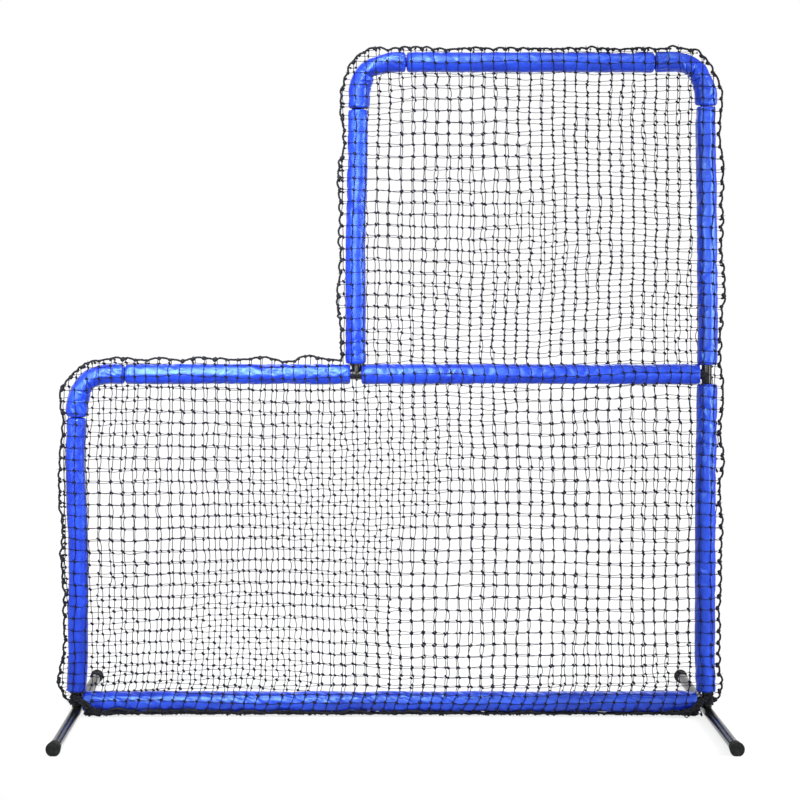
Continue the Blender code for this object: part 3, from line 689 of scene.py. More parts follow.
@dataclass(frozen=True)
class ZincFinish:
    """Zinc plated steel with a faint crystal bloom."""

    colour: Triple = (0.52, 0.53, 0.54)
    dull: Triple = (0.36, 0.37, 0.38)

    def material(self, name: str) -> Material:
        """Make the material."""
        recipe = Recipe(name)
        bloom = recipe.ramp(recipe.noise(320.0, 4.0), 0.35, 0.7, 0.0, 1.0)
        recipe.set(Base_Color=recipe.blend(bloom, self.colour, self.dull), Metallic=1.0,
                   Roughness=recipe.ramp(recipe.noise(500.0, 2.0), 0.3, 0.7, 0.26, 0.44),
                   Normal=recipe.bump(recipe.noise(1400.0, 2.0), 0.00005, 0.5))
        return recipe.material


@dataclass(frozen=True)
class Finishes:
    """All the finishes of the screen, made once."""

    vinyl: Material
    enamel: Material
    rubber: Material
    foam: Material
    net: Material
    rope: Material
    zinc: Material

    @staticmethod
    def mixed() -> "Finishes":
        """Make every material once."""
        net = TwineFinish((0.006, 0.006, 0.012), (0.018, 0.017, 0.034), 0.009)
        rope = TwineFinish((0.007, 0.0075, 0.01), (0.028, 0.029, 0.034), 0.016)
        return Finishes(
            vinyl=VinylFinish().material("glossy_blue_vinyl"),
            enamel=EnamelFinish().material("gloss_black_enamel"),
            rubber=RubberFinish().material("dark_cap_rubber"),
            foam=FoamFinish().material("charcoal_foam"),
            net=net.material("black_net_twine"),
            rope=rope.material("black_border_cord"),
            zinc=ZincFinish().material("zinc_plate"),
        )

    def dress_nodes(self, nodes: dict[str, bpy.types.Object]) -> None:
        """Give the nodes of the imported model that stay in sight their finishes.

        Args:
            nodes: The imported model's nodes by name.
        """
        for name, node in nodes.items():
            if node.hide_render:
                continue
            finish = self.zinc if name.startswith("snap_button") else self.enamel
            node.data.materials.clear()
            node.data.materials.append(finish)
            node.data.set_sharp_from_angle(angle=math.radians(35))
            LOG.info("%s keeps its shape", name)


def rounded_box_distance(x: Array, z: Array, low: Pair, high: Pair,
                         radii: tuple[float, float, float, float]) -> Array:
    """Give the signed distance outward from a rectangle with four corner radii.

    Args:
        x: Places along X.
        z: Heights, of the same shape.
        low: Its lowest corner (x, z).
        high: Its highest corner (x, z).
        radii: Radii at the low left, low right, high left and high right corner.

    Returns:
        Distances, negative inside.
    """
    mid_x, mid_z = (low[0] + high[0]) / 2, (low[1] + high[1]) / 2
    is_right, is_top = x > mid_x, z > mid_z
    low_radius = np.where(is_right, radii[1], radii[0])
    radius = np.where(is_top, np.where(is_right, radii[3], radii[2]), low_radius)
    past_x = np.abs(x - mid_x) - (high[0] - low[0]) / 2 + radius
    past_z = np.abs(z - mid_z) - (high[1] - low[1]) / 2 + radius
    outside = np.hypot(np.maximum(past_x, 0.0), np.maximum(past_z, 0.0))
    return outside + np.minimum(np.maximum(past_x, past_z), 0.0) - radius


@dataclass(frozen=True)
class Outline:
    """The frame's outer line, how pads and net sway off it, and where the net's border runs."""

    layout: Layout
    left_sway: tuple[Pair, ...] = (
        (0.12, 0.000), (0.231, 0.0035), (0.501, 0.0055), (0.681, 0.0035), (0.951, -0.004),
        (1.131, 0.0005), (1.3, 0.0))
    inner_sway: tuple[Pair, ...] = (
        (1.3, -0.0035), (1.469, -0.004), (1.784, -0.0025), (1.964, 0.001), (2.234, 0.0055),
        (2.316, 0.006), (2.45, 0.0015))
    right_sway: tuple[Pair, ...] = (
        (0.12, -0.003), (0.231, -0.006), (0.501, -0.0055), (0.861, -0.004), (1.221, 0.001),
        (1.514, 0.003), (1.829, 0.001), (2.234, -0.0035), (2.44, 0.0))
    crest: float = 0.0406
    hold: float = 0.0045

    def sway(self, x: Array, z: Array) -> Array:
        """Give how far sideways a place is off the straight frame.

        The sway of each post is read from its heights, and eased from post to post along X.

        Args:
            x: Places along X.
            z: Heights, of the same shape.

        Returns:
            Offsets along X.
        """
        left, inner, right = (np.interp(z, *np.array(keys).T)
                              for keys in (self.left_sway, self.inner_sway, self.right_sway))
        inner = inner * smooth((z - 1.22) / 0.08)
        share_left = smooth((x - self.layout.left) / (self.layout.inner - self.layout.left))
        share_right = smooth((x - self.layout.inner) / (self.layout.right - self.layout.inner))
        return np.where(x < self.layout.inner, left + (inner - left) * share_left,
                        inner + (right - inner) * share_right)

    def outward(self, x: Array, z: Array) -> Array:
        """Give the signed distance outward from the frame's outer tube axes.

        It is the smaller of the distances to the tall and the low part, eased only at their notch.

        Args:
            x: Places along X.
            z: Heights, of the same shape.

        Returns:
            Distances, negative inside the frame.
        """
        size = self.layout
        x = x - self.sway(x, z)
        bend = size.bend_radius
        sharp = 0.01
        tall = rounded_box_distance(x, z, (size.inner, size.bottom_rail),
                                    (size.right, size.top_rail), (sharp, sharp, bend, bend))
        low = rounded_box_distance(x, z, (size.left, size.bottom_rail),
                                   (size.right, size.crossbar), (sharp, sharp, bend, sharp))
        near = np.exp(-((x - size.inner) ** 2 + (z - size.crossbar) ** 2) / 0.1 ** 2)
        ease = 0.034 * near + 1e-6
        share = np.clip(0.5 + 0.5 * (low - tall) / ease, 0.0, 1.0)
        return low + (tall - low) * share - ease * share * (1.0 - share)

    def border(self, x: Array, z: Array) -> Array:
        """Give how far outward the net's border runs at each place.

        Args:
            x: Places along X.
            z: Heights, of the same shape.

        Returns:
            Distances outward from the outer tube axes.
        """
        size = self.layout
        from_middle = np.abs(x - 0.525)
        level = smooth((z - size.top_rail - 0.01) / 0.03)
        level = level * smooth((size.tall_width / 2 - 0.1 - from_middle) / 0.06)
        reach = size.rope_offset + (1.0 - 0.8 * level) * 0.005 * wander(x, z, 0.19, 11)
        reach = reach - 0.0065 * level
        corner_x = np.minimum(np.abs(x - size.left - 0.05), np.abs(x - size.right + 0.05))
        at_elbow = bell(corner_x, 0.1) * bell(z - size.crossbar + 0.05, 0.16)
        reach = reach + 0.0045 * at_elbow * (x < 0) + 0.003 * at_elbow * wander(x, z, 0.06, 13)
        swells = ((size.inner + 0.03, size.top_rail - 0.03, 0.1, 0.0085),
                  (size.left - 0.005, size.crossbar + 0.025, 0.07, 0.013),
                  (size.left + 0.105, size.crossbar + 0.045, 0.055, -0.01))
        for middle_x, middle_z, width, rise in swells:
            reach = reach + rise * bell(np.hypot(x - middle_x, z - middle_z), width)
        beside = smooth((np.abs(x) - size.right - 0.008) / 0.02)
        drawn_in = 0.01 * smooth((0.13 - z) / 0.05) + 0.018 * smooth((0.08 - z) / 0.035)
        reach = reach - beside * drawn_in
        under = smooth((size.bottom_rail - z) / 0.02) * (1.0 - beside)
        reach = reach + (0.044 - reach) * under
        foot = np.hypot(np.abs(x) - size.right, z - 0.01)
        return reach * np.clip((foot - 0.036) / 0.022, 0.0, 1.0)

    def depth(self, x: Array, z: Array) -> Array:
        """Give how far the net stands off the frame's plane.

        Inside it lies on the pads' crests and sags a little between them. Outside it follows the pad's
        circle to the angle where a straight line reaches the border, then that line.

        Args:
            x: Places along X.
            z: Heights, of the same shape.

        Returns:
            Depths, all positive.
        """
        size = self.layout
        outward, reach = self.outward(x, z), np.maximum(self.border(x, z), 1e-4)
        crest = self.crest
        span = np.hypot(reach, self.hold)
        angle = np.arctan2(self.hold, reach) + np.arccos(np.minimum(crest / span, 1.0))
        leave = crest * np.cos(angle)
        on_pad = np.sqrt(np.maximum(crest ** 2 - np.clip(outward, 0.0, crest) ** 2, 0.0))
        share = np.clip((outward - leave) / np.maximum(reach - leave, 1e-6), 0.0, 1.0)
        off_pad = crest * np.sin(angle) * (1.0 - share) + self.hold * share
        depth = np.where((outward > leave) & (reach > leave), off_pad, on_pad)
        from_bar = np.where(x > size.inner - 0.02, np.abs(z - size.crossbar), 1.0)
        inside = smooth((np.minimum(-outward, from_bar) - 0.045) / 0.3)
        return depth - 0.0055 * inside


def route_points(outline: Outline, offset: float, step: float) -> Array:
    """List the border's nominal route from the left foot over the screen to the right foot.

    Straight runs and arcs are joined and then read off at even steps of length.

    Args:
        outline: The frame's outline.
        offset: Distance outward from the outer tube axes.
        step: Length of a step in metres.

    Returns:
        Places (x, z), of shape (steps, 2).
    """
    size = outline.layout
    bend, inner_bend = size.bend_radius, size.rope_bend

    def arc(x: float, z: float, radius: float, start_deg: float, end_deg: float) -> Array:
        """List an arc's points from one angle to another."""
        angle = np.radians(np.linspace(start_deg, end_deg, 40))
        return np.stack([x + radius * np.cos(angle), z + radius * np.sin(angle)], -1)

    notch_x, notch_z = size.inner - offset, size.crossbar + offset
    corners = [
        np.array([[size.left - offset, 0.052]]),
        arc(size.left + bend, size.crossbar - bend, bend + offset, 180, 90),
        arc(notch_x - inner_bend, notch_z + inner_bend, inner_bend, -90, 0),
        arc(size.inner + bend, size.top_rail - bend, bend + offset, 180, 90),
        arc(size.right - bend, size.top_rail - bend, bend + offset, 90, 0),
        np.array([[size.right + offset, 0.052]]),
    ]
    route = np.concatenate(corners)
    length = length_along(route)
    even = np.linspace(0.0, length[-1], int(length[-1] / step) + 1)
    return np.stack([np.interp(even, length, route[:, axis]) for axis in range(2)], -1)


def outward_normals(route: Array) -> Array:
    """Turn the direction of a route of places (x, z) by a quarter to its left, which is outward."""
    along = unit(np.gradient(route, axis=0))
    return np.stack([-along[:, 1], along[:, 0]], -1)


def border_route(outline: Outline, step: float) -> Array:
    """Move the nominal route outward or inward until it lies where the net's border runs.

    Args:
        outline: The frame's outline.
        step: Length of a step in metres.

    Returns:
        Places (x, z) on the border.
    """
    route = route_points(outline, outline.layout.rope_offset, step)
    normals = outward_normals(route)
    for _ in range(8):
        gap = outline.border(route[:, 0], route[:, 1]) - outline.outward(route[:, 0], route[:, 1])
        route = route + 0.8 * np.clip(gap, -0.01, 0.01)[:, None] * normals
    return route


@dataclass
class NetLayer:
    """One layer of the knotted net bag, from border to border over the whole screen."""

    outline: Outline
    layer: Layer
    pitch: float = 0.0434
    upright_radius: float = 0.00145
    level_radius: float = 0.00106
    knot_length: float = 0.0064
    knot_radius: float = 0.0041
    seed: int = 21
    shift: Pair = (0.0, 0.0)
    roam: float = 0.004
    rub: float = 0.0
    crowding: float = 0.66
    foot_lean: float = 0.026
    sag: float = 0.0012
    crossings: Array = field(default_factory=lambda: np.zeros((0, 2)))

    def lines(self) -> tuple[Array, Array]:
        """List the columns' and rows' nominal places; rows crowd towards the hem.

        A row's number is the sum of one over the local spacing up to its height.

        Returns:
            Places along X and heights.
        """
        size = self.outline.layout
        columns = np.arange(size.left - 0.09 + self.shift[0], size.right + 0.15, self.pitch)
        height = np.linspace(-0.02, size.top_rail + 0.17, 2070)
        share = self.crowding + (1.0 - self.crowding) * smooth((height + 0.02) / 0.34)
        spacing = self.pitch * share
        number = np.cumsum(np.gradient(height) / spacing) + self.shift[1] / self.pitch
        rows = np.interp(np.arange(1, int(number[-1])), number, height)
        return columns, rows

    def knots(self) -> Array:
        """Give every knot's place (x, z), drawn off its nominal one by slow and quick noise.

        Returns:
            Places, of shape (columns, rows, 2).
        """
        columns, rows = self.lines()
        x, z = np.meshgrid(columns, rows, indexing="ij")
        rng = np.random.default_rng(self.seed)
        jitter = rng.normal(0.0, 0.0009, (2, *x.shape))
        lean = -self.foot_lean * smooth((0.13 - z) / 0.12)
        calm = smooth((z + 0.02) / 0.12)
        moved_x = x + lean + jitter[0] + self.outline.sway(x, z)
        moved_x += (self.roam * wander(x, z, 1.1, self.seed + 1)
                    + 0.0016 * wander(x, z, 0.17, self.seed + 2))
        moved_z = z + jitter[1] + calm * (self.roam * 1.4 * wander(x, z, 1.1, self.seed + 3)
                                          + 0.0018 * wander(x, z, 0.18, self.seed + 4))
        return np.stack([moved_x, moved_z], -1)

    def inside(self, places: Array) -> Array:
        """Give how far inside the border each place (x, z) lies."""
        x, z = places[..., 0], places[..., 1]
        return self.outline.border(x, z) - self.outline.outward(x, z)

    def strands(self) -> tuple[Array, Array]:
        """Work out the centreline of every strand, cut where it reaches the border.

        A strand runs straight between its knots plus a bow of four times u times one less u.

        Returns:
            Stations (strands, 5, 3), and the kept knots (knots, 3).
        """
        knots = self.knots()
        room = self.inside(knots)
        kept = room > 0.004
        pairs = []
        for first, second in ((np.s_[:-1, :], np.s_[1:, :]), (np.s_[:, :-1], np.s_[:, 1:])):
            pairs.append(np.concatenate([knots[first].reshape(-1, 2), knots[second].reshape(-1, 2),
                                         kept[first].reshape(-1, 1), kept[second].reshape(-1, 1)], 1))
        rows = np.concatenate(pairs)
        is_upright = np.arange(len(rows)) >= len(pairs[0])
        start, end = rows[:, 0:2], rows[:, 2:4]
        keep_a, keep_b = rows[:, 4] > 0, rows[:, 5] > 0
        swap = keep_b & ~keep_a
        start, end = np.where(swap[:, None], end, start), np.where(swap[:, None], start, end)
        shown = keep_a | keep_b
        start, end, is_upright = start[shown], end[shown], is_upright[shown]
        is_cut = ~(keep_a & keep_b)[shown]
        samples = np.linspace(0.0, 1.5, 37)
        line = start[:, None] + (end - start)[:, None] * samples[None, :, None]
        out = self.inside(line) < 0.0
        found = out.any(1) & is_cut
        share = np.where(found, samples[np.argmax(out, 1)] - 0.5 / 24, 1.0)
        self.crossings = start[found] + (end - start)[found] * share[found, None]
        real = (~is_cut | found) & (share > 0.02)
        start, end, is_upright, share = start[real], end[real], is_upright[real], share[real]
        rng = np.random.default_rng(self.seed + 5)
        slack = rng.normal(0.0, 1.0, len(start)) * np.where(is_upright, 0.0023, 0.0012)
        slack += np.where(is_upright, 0.0, -self.sag)
        u = np.linspace(0.0, 1.0, 5)[None, :] * share[:, None]
        places = start[:, None] + (end - start)[:, None] * u[..., None]
        bow = slack[:, None] * 4 * (u / share[:, None]) * (1 - u / share[:, None]) * share[:, None]
        places[..., 0] += np.where(is_upright[:, None], bow, 0.0)
        places[..., 1] += np.where(is_upright[:, None], 0.0, bow)
        return self.stood_off(self.bulged(places)), self.stood_off(self.bulged(knots[kept]))

    def bulged(self, places: Array) -> Array:
        """Push the layer sideways where it rubs over the crossbar's pad, most at its middle."""
        size = self.outline.layout
        x, z = places[..., 0], places[..., 1]
        lift = np.maximum(1.0 - ((z - size.crossbar) / 0.044) ** 2, 0.0)
        ends = smooth((x - size.inner - 0.05) / 0.1) * smooth((size.right - 0.06 - x) / 0.1)
        moved = places.copy()
        moved[..., 0] += self.rub * lift * ends
        return moved

    def stood_off(self, places: Array) -> Array:
        """Put places (x, z) on this layer's surface as points (x, y, z)."""
        depth = self.outline.depth(places[..., 0], places[..., 1])
        loose = 0.0012 * wander(places[..., 0], places[..., 1], 0.3, self.seed + 6)
        inner = smooth((-self.outline.outward(places[..., 0], places[..., 1]) - 0.05) / 0.06)
        y = self.layer.value * (depth - inner * (0.0015 + loose))
        return np.stack([places[..., 0], y, places[..., 1]], -1)

    def knot_shell(self, places: Array) -> Shell:
        """Make a lump on each knot, longer along a falling diagonal."""
        rng = np.random.default_rng(self.seed + 7)
        turn = -math.pi / 4 + rng.normal(0.0, 0.3, len(places))
        toward = np.stack([np.cos(turn), rng.normal(0.0, 0.15, len(places)), np.sin(turn)], -1)
        return lumps(places, toward, self.knot_length, self.knot_radius, rng, (0.88, 1.18), (0.82, 1.16),
                     BACK + 0.2 * UP)

    def build(self, finishes: Finishes) -> None:
        """Make the layer's strands and knots, one piece of each for the low and the tall part."""
        paths, knots = self.strands()
        side = self.layer.name.lower()
        split = self.outline.layout.crossbar
        for part, is_tall in (("low", False), ("tall", True)):
            chosen = paths[(paths[:, [0, -1], 2].mean(1) > split) == is_tall]
            chord = unit(chosen[:, -1] - chosen[:, 0])
            across = np.where(np.abs(chord[:, 2:]) > 0.6, RIGHT, UP)[:, None]
            thick = np.where(np.abs(chord[:, 2]) > 0.6, self.upright_radius, self.level_radius)
            strands = tubes(chosen, thick[:, None, None], 5, across)
            piece = strands.put(f"net_{side}_{part}_strands", finishes.net)
            dressed(piece, Body.FRAME, Slot.NET, f"net_{side}_{part}")
            tied = self.knot_shell(knots[(knots[:, 2] > split) == is_tall])
            piece = tied.put(f"net_{side}_{part}_knots", finishes.net)
            dressed(piece, Body.FRAME, Slot.NET, f"net_{side}_{part}")


@dataclass(frozen=True)
class ElbowShape:
    """How far an elbow's cover stands off its tube's axis on both sides, and its creases.

    Each key is (share of the cover's length from its post end, distance in metres). A crease is
    (place along the cover from the bend, how far it fans out, depth, half width), in metres.
    """

    outer: tuple[Pair, ...]
    inner: tuple[Pair, ...]
    creases: tuple[tuple[float, float, float, float], ...]


@dataclass
class PadCover:
    """A vinyl cover drawn round a foam sleeve, straight or bent over an elbow."""

    label: str
    route: Array
    shape: ElbowShape | None = None
    bend_at: float = 0.5
    inner_deg: float = 0.0
    flat: float = 0.0361
    corner_power: int = 14
    nominal: float = 0.0375
    press_gain: float = 1.9
    neck: float = 0.0262
    widest: float = 0.0391
    bent_widest: float = 0.0465
    draw_length: float = 0.0105
    wall: float = 0.0008
    lip: tuple[Pair, ...] = ((0.02445, 0.0004), (0.0242, 0.003), (0.0245, 0.008))
    sides: int = 60
    seed: int = 0

    @property
    def length(self) -> Array:
        """Length along the route at each station."""
        return length_along(self.route)

    @property
    def turn(self) -> Array:
        """Angle of each point round the cover."""
        return full_turn(self.sides)

    def axes(self) -> tuple[Array, Array]:
        """Give the direction across the route in the frame's plane, and the one backward."""
        along = unit(np.gradient(self.route, axis=0))
        return np.cross(BACK, along), np.broadcast_to(BACK, along.shape)

    def reach(self) -> Array:
        """Work out the cover's radius at each station and angle.

        The vinyl is drawn flat between a few lengthwise ridges: the inverse radius is the 14-norm of
        the cosines of the angle off each flat, over the flats' distance. Slow dents, shallow lengthwise
        creases that drift, and short pleats that fade from each drawn-in end lie on top.

        Returns:
            Radii, of shape (stations, sides).
        """
        rng = np.random.default_rng(self.seed)
        along = self.length[:, None]
        total = self.length[-1]
        angle = self.turn + np.zeros_like(along)
        faces = np.radians(-90.0 + np.array([-20.0, 33.0, 84.0, 136.0, 188.0, 238.0, 290.0]))
        faces = faces + rng.normal(0.0, math.radians(3.0), 7)
        support = np.zeros_like(angle)
        for face in faces:
            drift = face + 0.09 * np.sin(along * rng.uniform(3.0, 7.0) + rng.uniform(0.0, 6.0))
            away = self.flat + rng.uniform(0.0, 0.0006)
            support += (np.maximum(np.cos(angle - drift), 0.0) / away) ** self.corner_power
        reach = support ** (-1 / self.corner_power)
        round_x, round_y = 0.038 * np.cos(angle), 0.038 * np.sin(angle)
        drifting = round_y * 2 + along * 0.3
        reach = reach + 0.0004 * wander(along + 3 * round_x, drifting, 0.2, self.seed + 1)
        reach = reach + 0.00026 * wander(along * 1.2 + round_y, round_x * 2.5, 0.05, self.seed + 2)
        for _ in range(3):
            start = rng.uniform(0.0, TAU)
            drift = start + 0.1 * np.sin(along * rng.uniform(2.0, 5.0) + rng.uniform(0.0, 6.0))
            off = np.angle(np.exp(1j * (angle - drift)))
            depth = rng.uniform(0.0004, 0.0008)
            depth = depth * (0.6 + 0.4 * np.sin(along * rng.uniform(6.0, 14.0) + start))
            reach = reach - depth * bell(off, 0.085) + 0.6 * depth * bell(off - 0.2, 0.12)
        from_end = np.minimum(along, total - along)
        pleat = np.zeros_like(reach)
        for count in (9, 13, 17):
            phase = rng.uniform(0.0, TAU) + 0.5 * (along > total / 2)
            pleat += rng.uniform(0.25, 0.55) * np.cos(count * angle + phase + 6.0 * from_end / 0.05)
        return reach + 0.0009 * pleat * np.exp(-from_end / 0.022) * smooth(from_end / 0.006)

    def grid(self) -> Array:
        """Put the cover's surface together: the route plus the radius along both ways across it.

        On an elbow the part across the frame's plane is stretched to the shape's reach on its side.

        Returns:
            Points, of shape (stations, sides, 3).
        """
        across, back = self.axes()
        reach = self.reach()
        flat, deep = reach * np.cos(self.turn), reach * np.sin(self.turn)
        if self.shape is not None:
            share = self.length / self.length[-1]
            toward = math.cos(math.radians(self.inner_deg))
            inner, outer = (np.interp(share, *np.array(keys).T)[:, None] / self.nominal
                            for keys in (self.shape.inner, self.shape.outer))
            flat = flat * np.where(flat * toward > 0, inner, outer)
        return (self.route[:, None] + flat[..., None] * across[:, None]
                + deep[..., None] * back[:, None])

    def creased(self, grid: Array) -> Array:
        """Press the elbow's creases in, which fan out from the inner corner over front and back.

        A crease runs where the place along the cover is its own place plus its fan times the angle
        off the inner side over a quarter turn; it is as deep as a bell curve of the distance from it.

        Args:
            grid: Points, of shape (stations, sides, 3).

        Returns:
            The creased points.
        """
        if self.shape is None:
            return grid
        off = np.abs(np.angle(np.exp(1j * (self.turn - math.radians(self.inner_deg)))))[None]
        place = (self.length - self.bend_at * self.length[-1])[:, None]
        offset = grid - self.route[:, None]
        reach = np.linalg.norm(offset, axis=-1, keepdims=True)
        pressed = np.zeros(grid.shape[:2])
        for at, fan, depth, width in self.shape.creases:
            line = at + fan * off / (math.pi / 2)
            fade = np.exp(-(off / 1.75) ** 4)
            fold = bell(place - line, width) - 0.35 * bell(place - line, 3.2 * width)
            pressed -= self.press_gain * depth * fade * fold
        return self.route[:, None] + offset / reach * (reach + pressed[..., None])

    def held(self, grid: Array) -> Array:
        """Draw the ends in and keep the cover inside its widest radius.

        Over the last stations the draw is close to the quarter of an ellipse, with a power of 2.6 in
        place of two, down to the neck's radius.

        Args:
            grid: Points, of shape (stations, sides, 3).

        Returns:
            The points drawn in.
        """
        offset = grid - self.route[:, None]
        reach = np.linalg.norm(offset, axis=-1, keepdims=True)
        total = self.length[-1]
        from_end = np.minimum(self.length, total - self.length)[:, None, None]
        share = np.clip(1.0 - from_end / self.draw_length, 0.0, 1.0)
        widest = self.widest if self.shape is None else self.bent_widest
        rounding = np.sqrt(np.maximum(1.0 - share ** 2.6, 0.0))
        draw = self.neck + (np.minimum(reach, widest) - self.neck) * rounding
        return self.route[:, None] + offset / reach * draw

    def build(self, grid: Array, finishes: Finishes) -> None:
        """Make the cover from its relaxed grid, with a turned-in hem at each end.

        Args:
            grid: Points, of shape (stations, sides, 3).
            finishes: The screen's finishes.
        """
        grid = self.held(self.creased(grid))
        along = unit(np.gradient(self.route, axis=0))
        rings = [grid]
        for end, sign in ((0, 1.0), (-1, -1.0)):
            middle = self.route[end]
            spoke = unit(grid[end] - middle)
            inward = along[end] * sign
            lip = [middle + spoke * radius + inward * depth for radius, depth in self.lip]
            lip = np.stack(lip if end else lip[::-1])
            rings = [*rings, lip] if end else [lip, *rings]
        points = np.concatenate(rings)
        from_end = np.minimum(self.length, self.length[-1] - self.length)
        v = np.concatenate([[0.0] * 3, from_end, [0.0] * 3])
        shell = Shell(points.reshape(-1, 3), [grid_faces(len(points), self.sides)],
                      [grid_uvs(v, self.sides)])
        piece = shell.put(f"vinyl_cover_{self.label}", finishes.vinyl, 60.0)
        wall = piece.modifiers.new("wall", "SOLIDIFY")
        wall.thickness, wall.offset = self.wall, -1.0
        dressed(piece, Body.FRAME, Slot.VINYL, f"pad_cover_{self.label}")


@dataclass
class FoamSleeve:
    """A split foam sleeve round the tube, inside a cover."""

    label: str
    route: Array
    outer: float = 0.0275
    inner: float = 0.0196
    slit: float = 0.0045
    steps: int = 26

    def build(self, finishes: Finishes) -> None:
        """Sweep the C-shaped section along the route, with its slit to the rear."""
        along = unit(np.gradient(self.route, axis=0))
        across = np.cross(BACK, along)
        gap = math.asin(self.slit / self.inner)
        turn = np.linspace(math.pi / 2 + gap, math.pi / 2 - gap + TAU, self.steps)
        pores = 1.0 + 0.012 * wander(np.cos(turn), np.sin(turn), 0.5, 5)
        circle = np.stack([np.cos(turn), np.sin(turn)], -1)
        section = np.concatenate([circle * self.outer * pores[:, None],
                                  circle[::-1] * self.inner])[None]
        points = self.route[:, None] + section[..., :1] * across[:, None] + section[..., 1:] * BACK
        count = section.shape[1]
        quads = grid_faces(len(self.route), count)
        j = np.arange(self.steps - 1)
        cap = np.stack([j, count - 1 - j, count - 2 - j, j + 1], -1)
        last = cap[:, ::-1] + (len(self.route) - 1) * count
        shell = Shell(points.reshape(-1, 3), [quads, cap, last])
        piece = shell.put(f"foam_sleeve_{self.label}", finishes.foam, 40.0)
        dressed(piece, Body.FRAME, Slot.FOAM, f"pad_foam_{self.label}")


@dataclass(frozen=True)
class ClothPress:
    """Lets the covers settle as cloth, grown, blown out and held at their ends, up to a small cap."""

    frames: int = 20
    pressure: float = 2.5
    growth: float = 0.013
    bent_growth: float = 0.04
    most: float = 0.0018
    bent_most: float = 0.004
    stiffness: float = 12.0

    def relax(self, grids: dict[str, Array], bent: tuple[str, ...]) -> dict[str, Array]:
        """Run one simulation over all the covers and cap how far each point moves.

        Args:
            grids: Points of each cover, of shape (stations, sides, 3).
            bent: Names of the covers over elbows, which crumple more.

        Returns:
            The settled points, by the same names.
        """
        scene = bpy.context.scene
        trial = {}
        for name, grid in grids.items():
            growth = self.bent_growth if name in bent else self.growth
            trial[name] = self.trial_cloth(name, grid, growth)
        for frame in range(1, self.frames + 1):
            scene.frame_set(frame)
        graph = bpy.context.evaluated_depsgraph_get()
        settled = {}
        for name, obj in trial.items():
            flat = np.empty(grids[name].size, np.float32)
            obj.evaluated_get(graph).data.vertices.foreach_get("co", flat)
            moved = flat.reshape(grids[name].shape).astype(float) - grids[name]
            far = np.linalg.norm(moved, axis=-1, keepdims=True)
            most = self.bent_most if name in bent else self.most
            settled[name] = grids[name] + moved * np.minimum(1.0, most / np.maximum(far, 1e-9))
            LOG.info("%s settled, mean move %.2f mm, most %.2f mm", name, 1000 * far.mean(),
                     1000 * far.max())
            mesh = obj.data
            bpy.data.objects.remove(obj, do_unlink=True)
            bpy.data.meshes.remove(mesh)
        scene.frame_set(1)
        return settled

    def trial_cloth(self, name: str, grid: Array, growth: float) -> bpy.types.Object:
        """Make a throwaway cloth object of a cover's grid, which grows by a share as it settles."""
        rows, sides = grid.shape[:2]
        mesh = bpy.data.meshes.new(f"trial_{name}")
        mesh.from_pydata(grid.reshape(-1, 3).tolist(), [], grid_faces(rows, sides).tolist())
        obj = bpy.data.objects.new(f"trial_{name}", mesh)
        bpy.context.scene.collection.objects.link(obj)
        group = obj.vertex_groups.new(name="hem")
        ends = np.r_[0:2 * sides, (rows - 2) * sides:rows * sides]
        group.add(ends.tolist(), 1.0, "REPLACE")
        cloth = obj.modifiers.new("settle", "CLOTH")
        settings = {
            "quality": 4, "mass": 0.25, "tension_stiffness": self.stiffness,
            "compression_stiffness": self.stiffness, "shear_stiffness": self.stiffness / 3,
            "bending_stiffness": 0.05, "air_damping": 2.0, "use_pressure": True,
            "uniform_pressure_force": self.pressure, "shrink_min": -growth, "vertex_group_mass": "hem"}
        for key, value in settings.items():
            setattr(cloth.settings, key, value)
        cloth.settings.effector_weights.gravity = 0.0
        cloth.collision_settings.use_collision = False
        cloth.point_cache.frame_start, cloth.point_cache.frame_end = 1, self.frames
        return obj


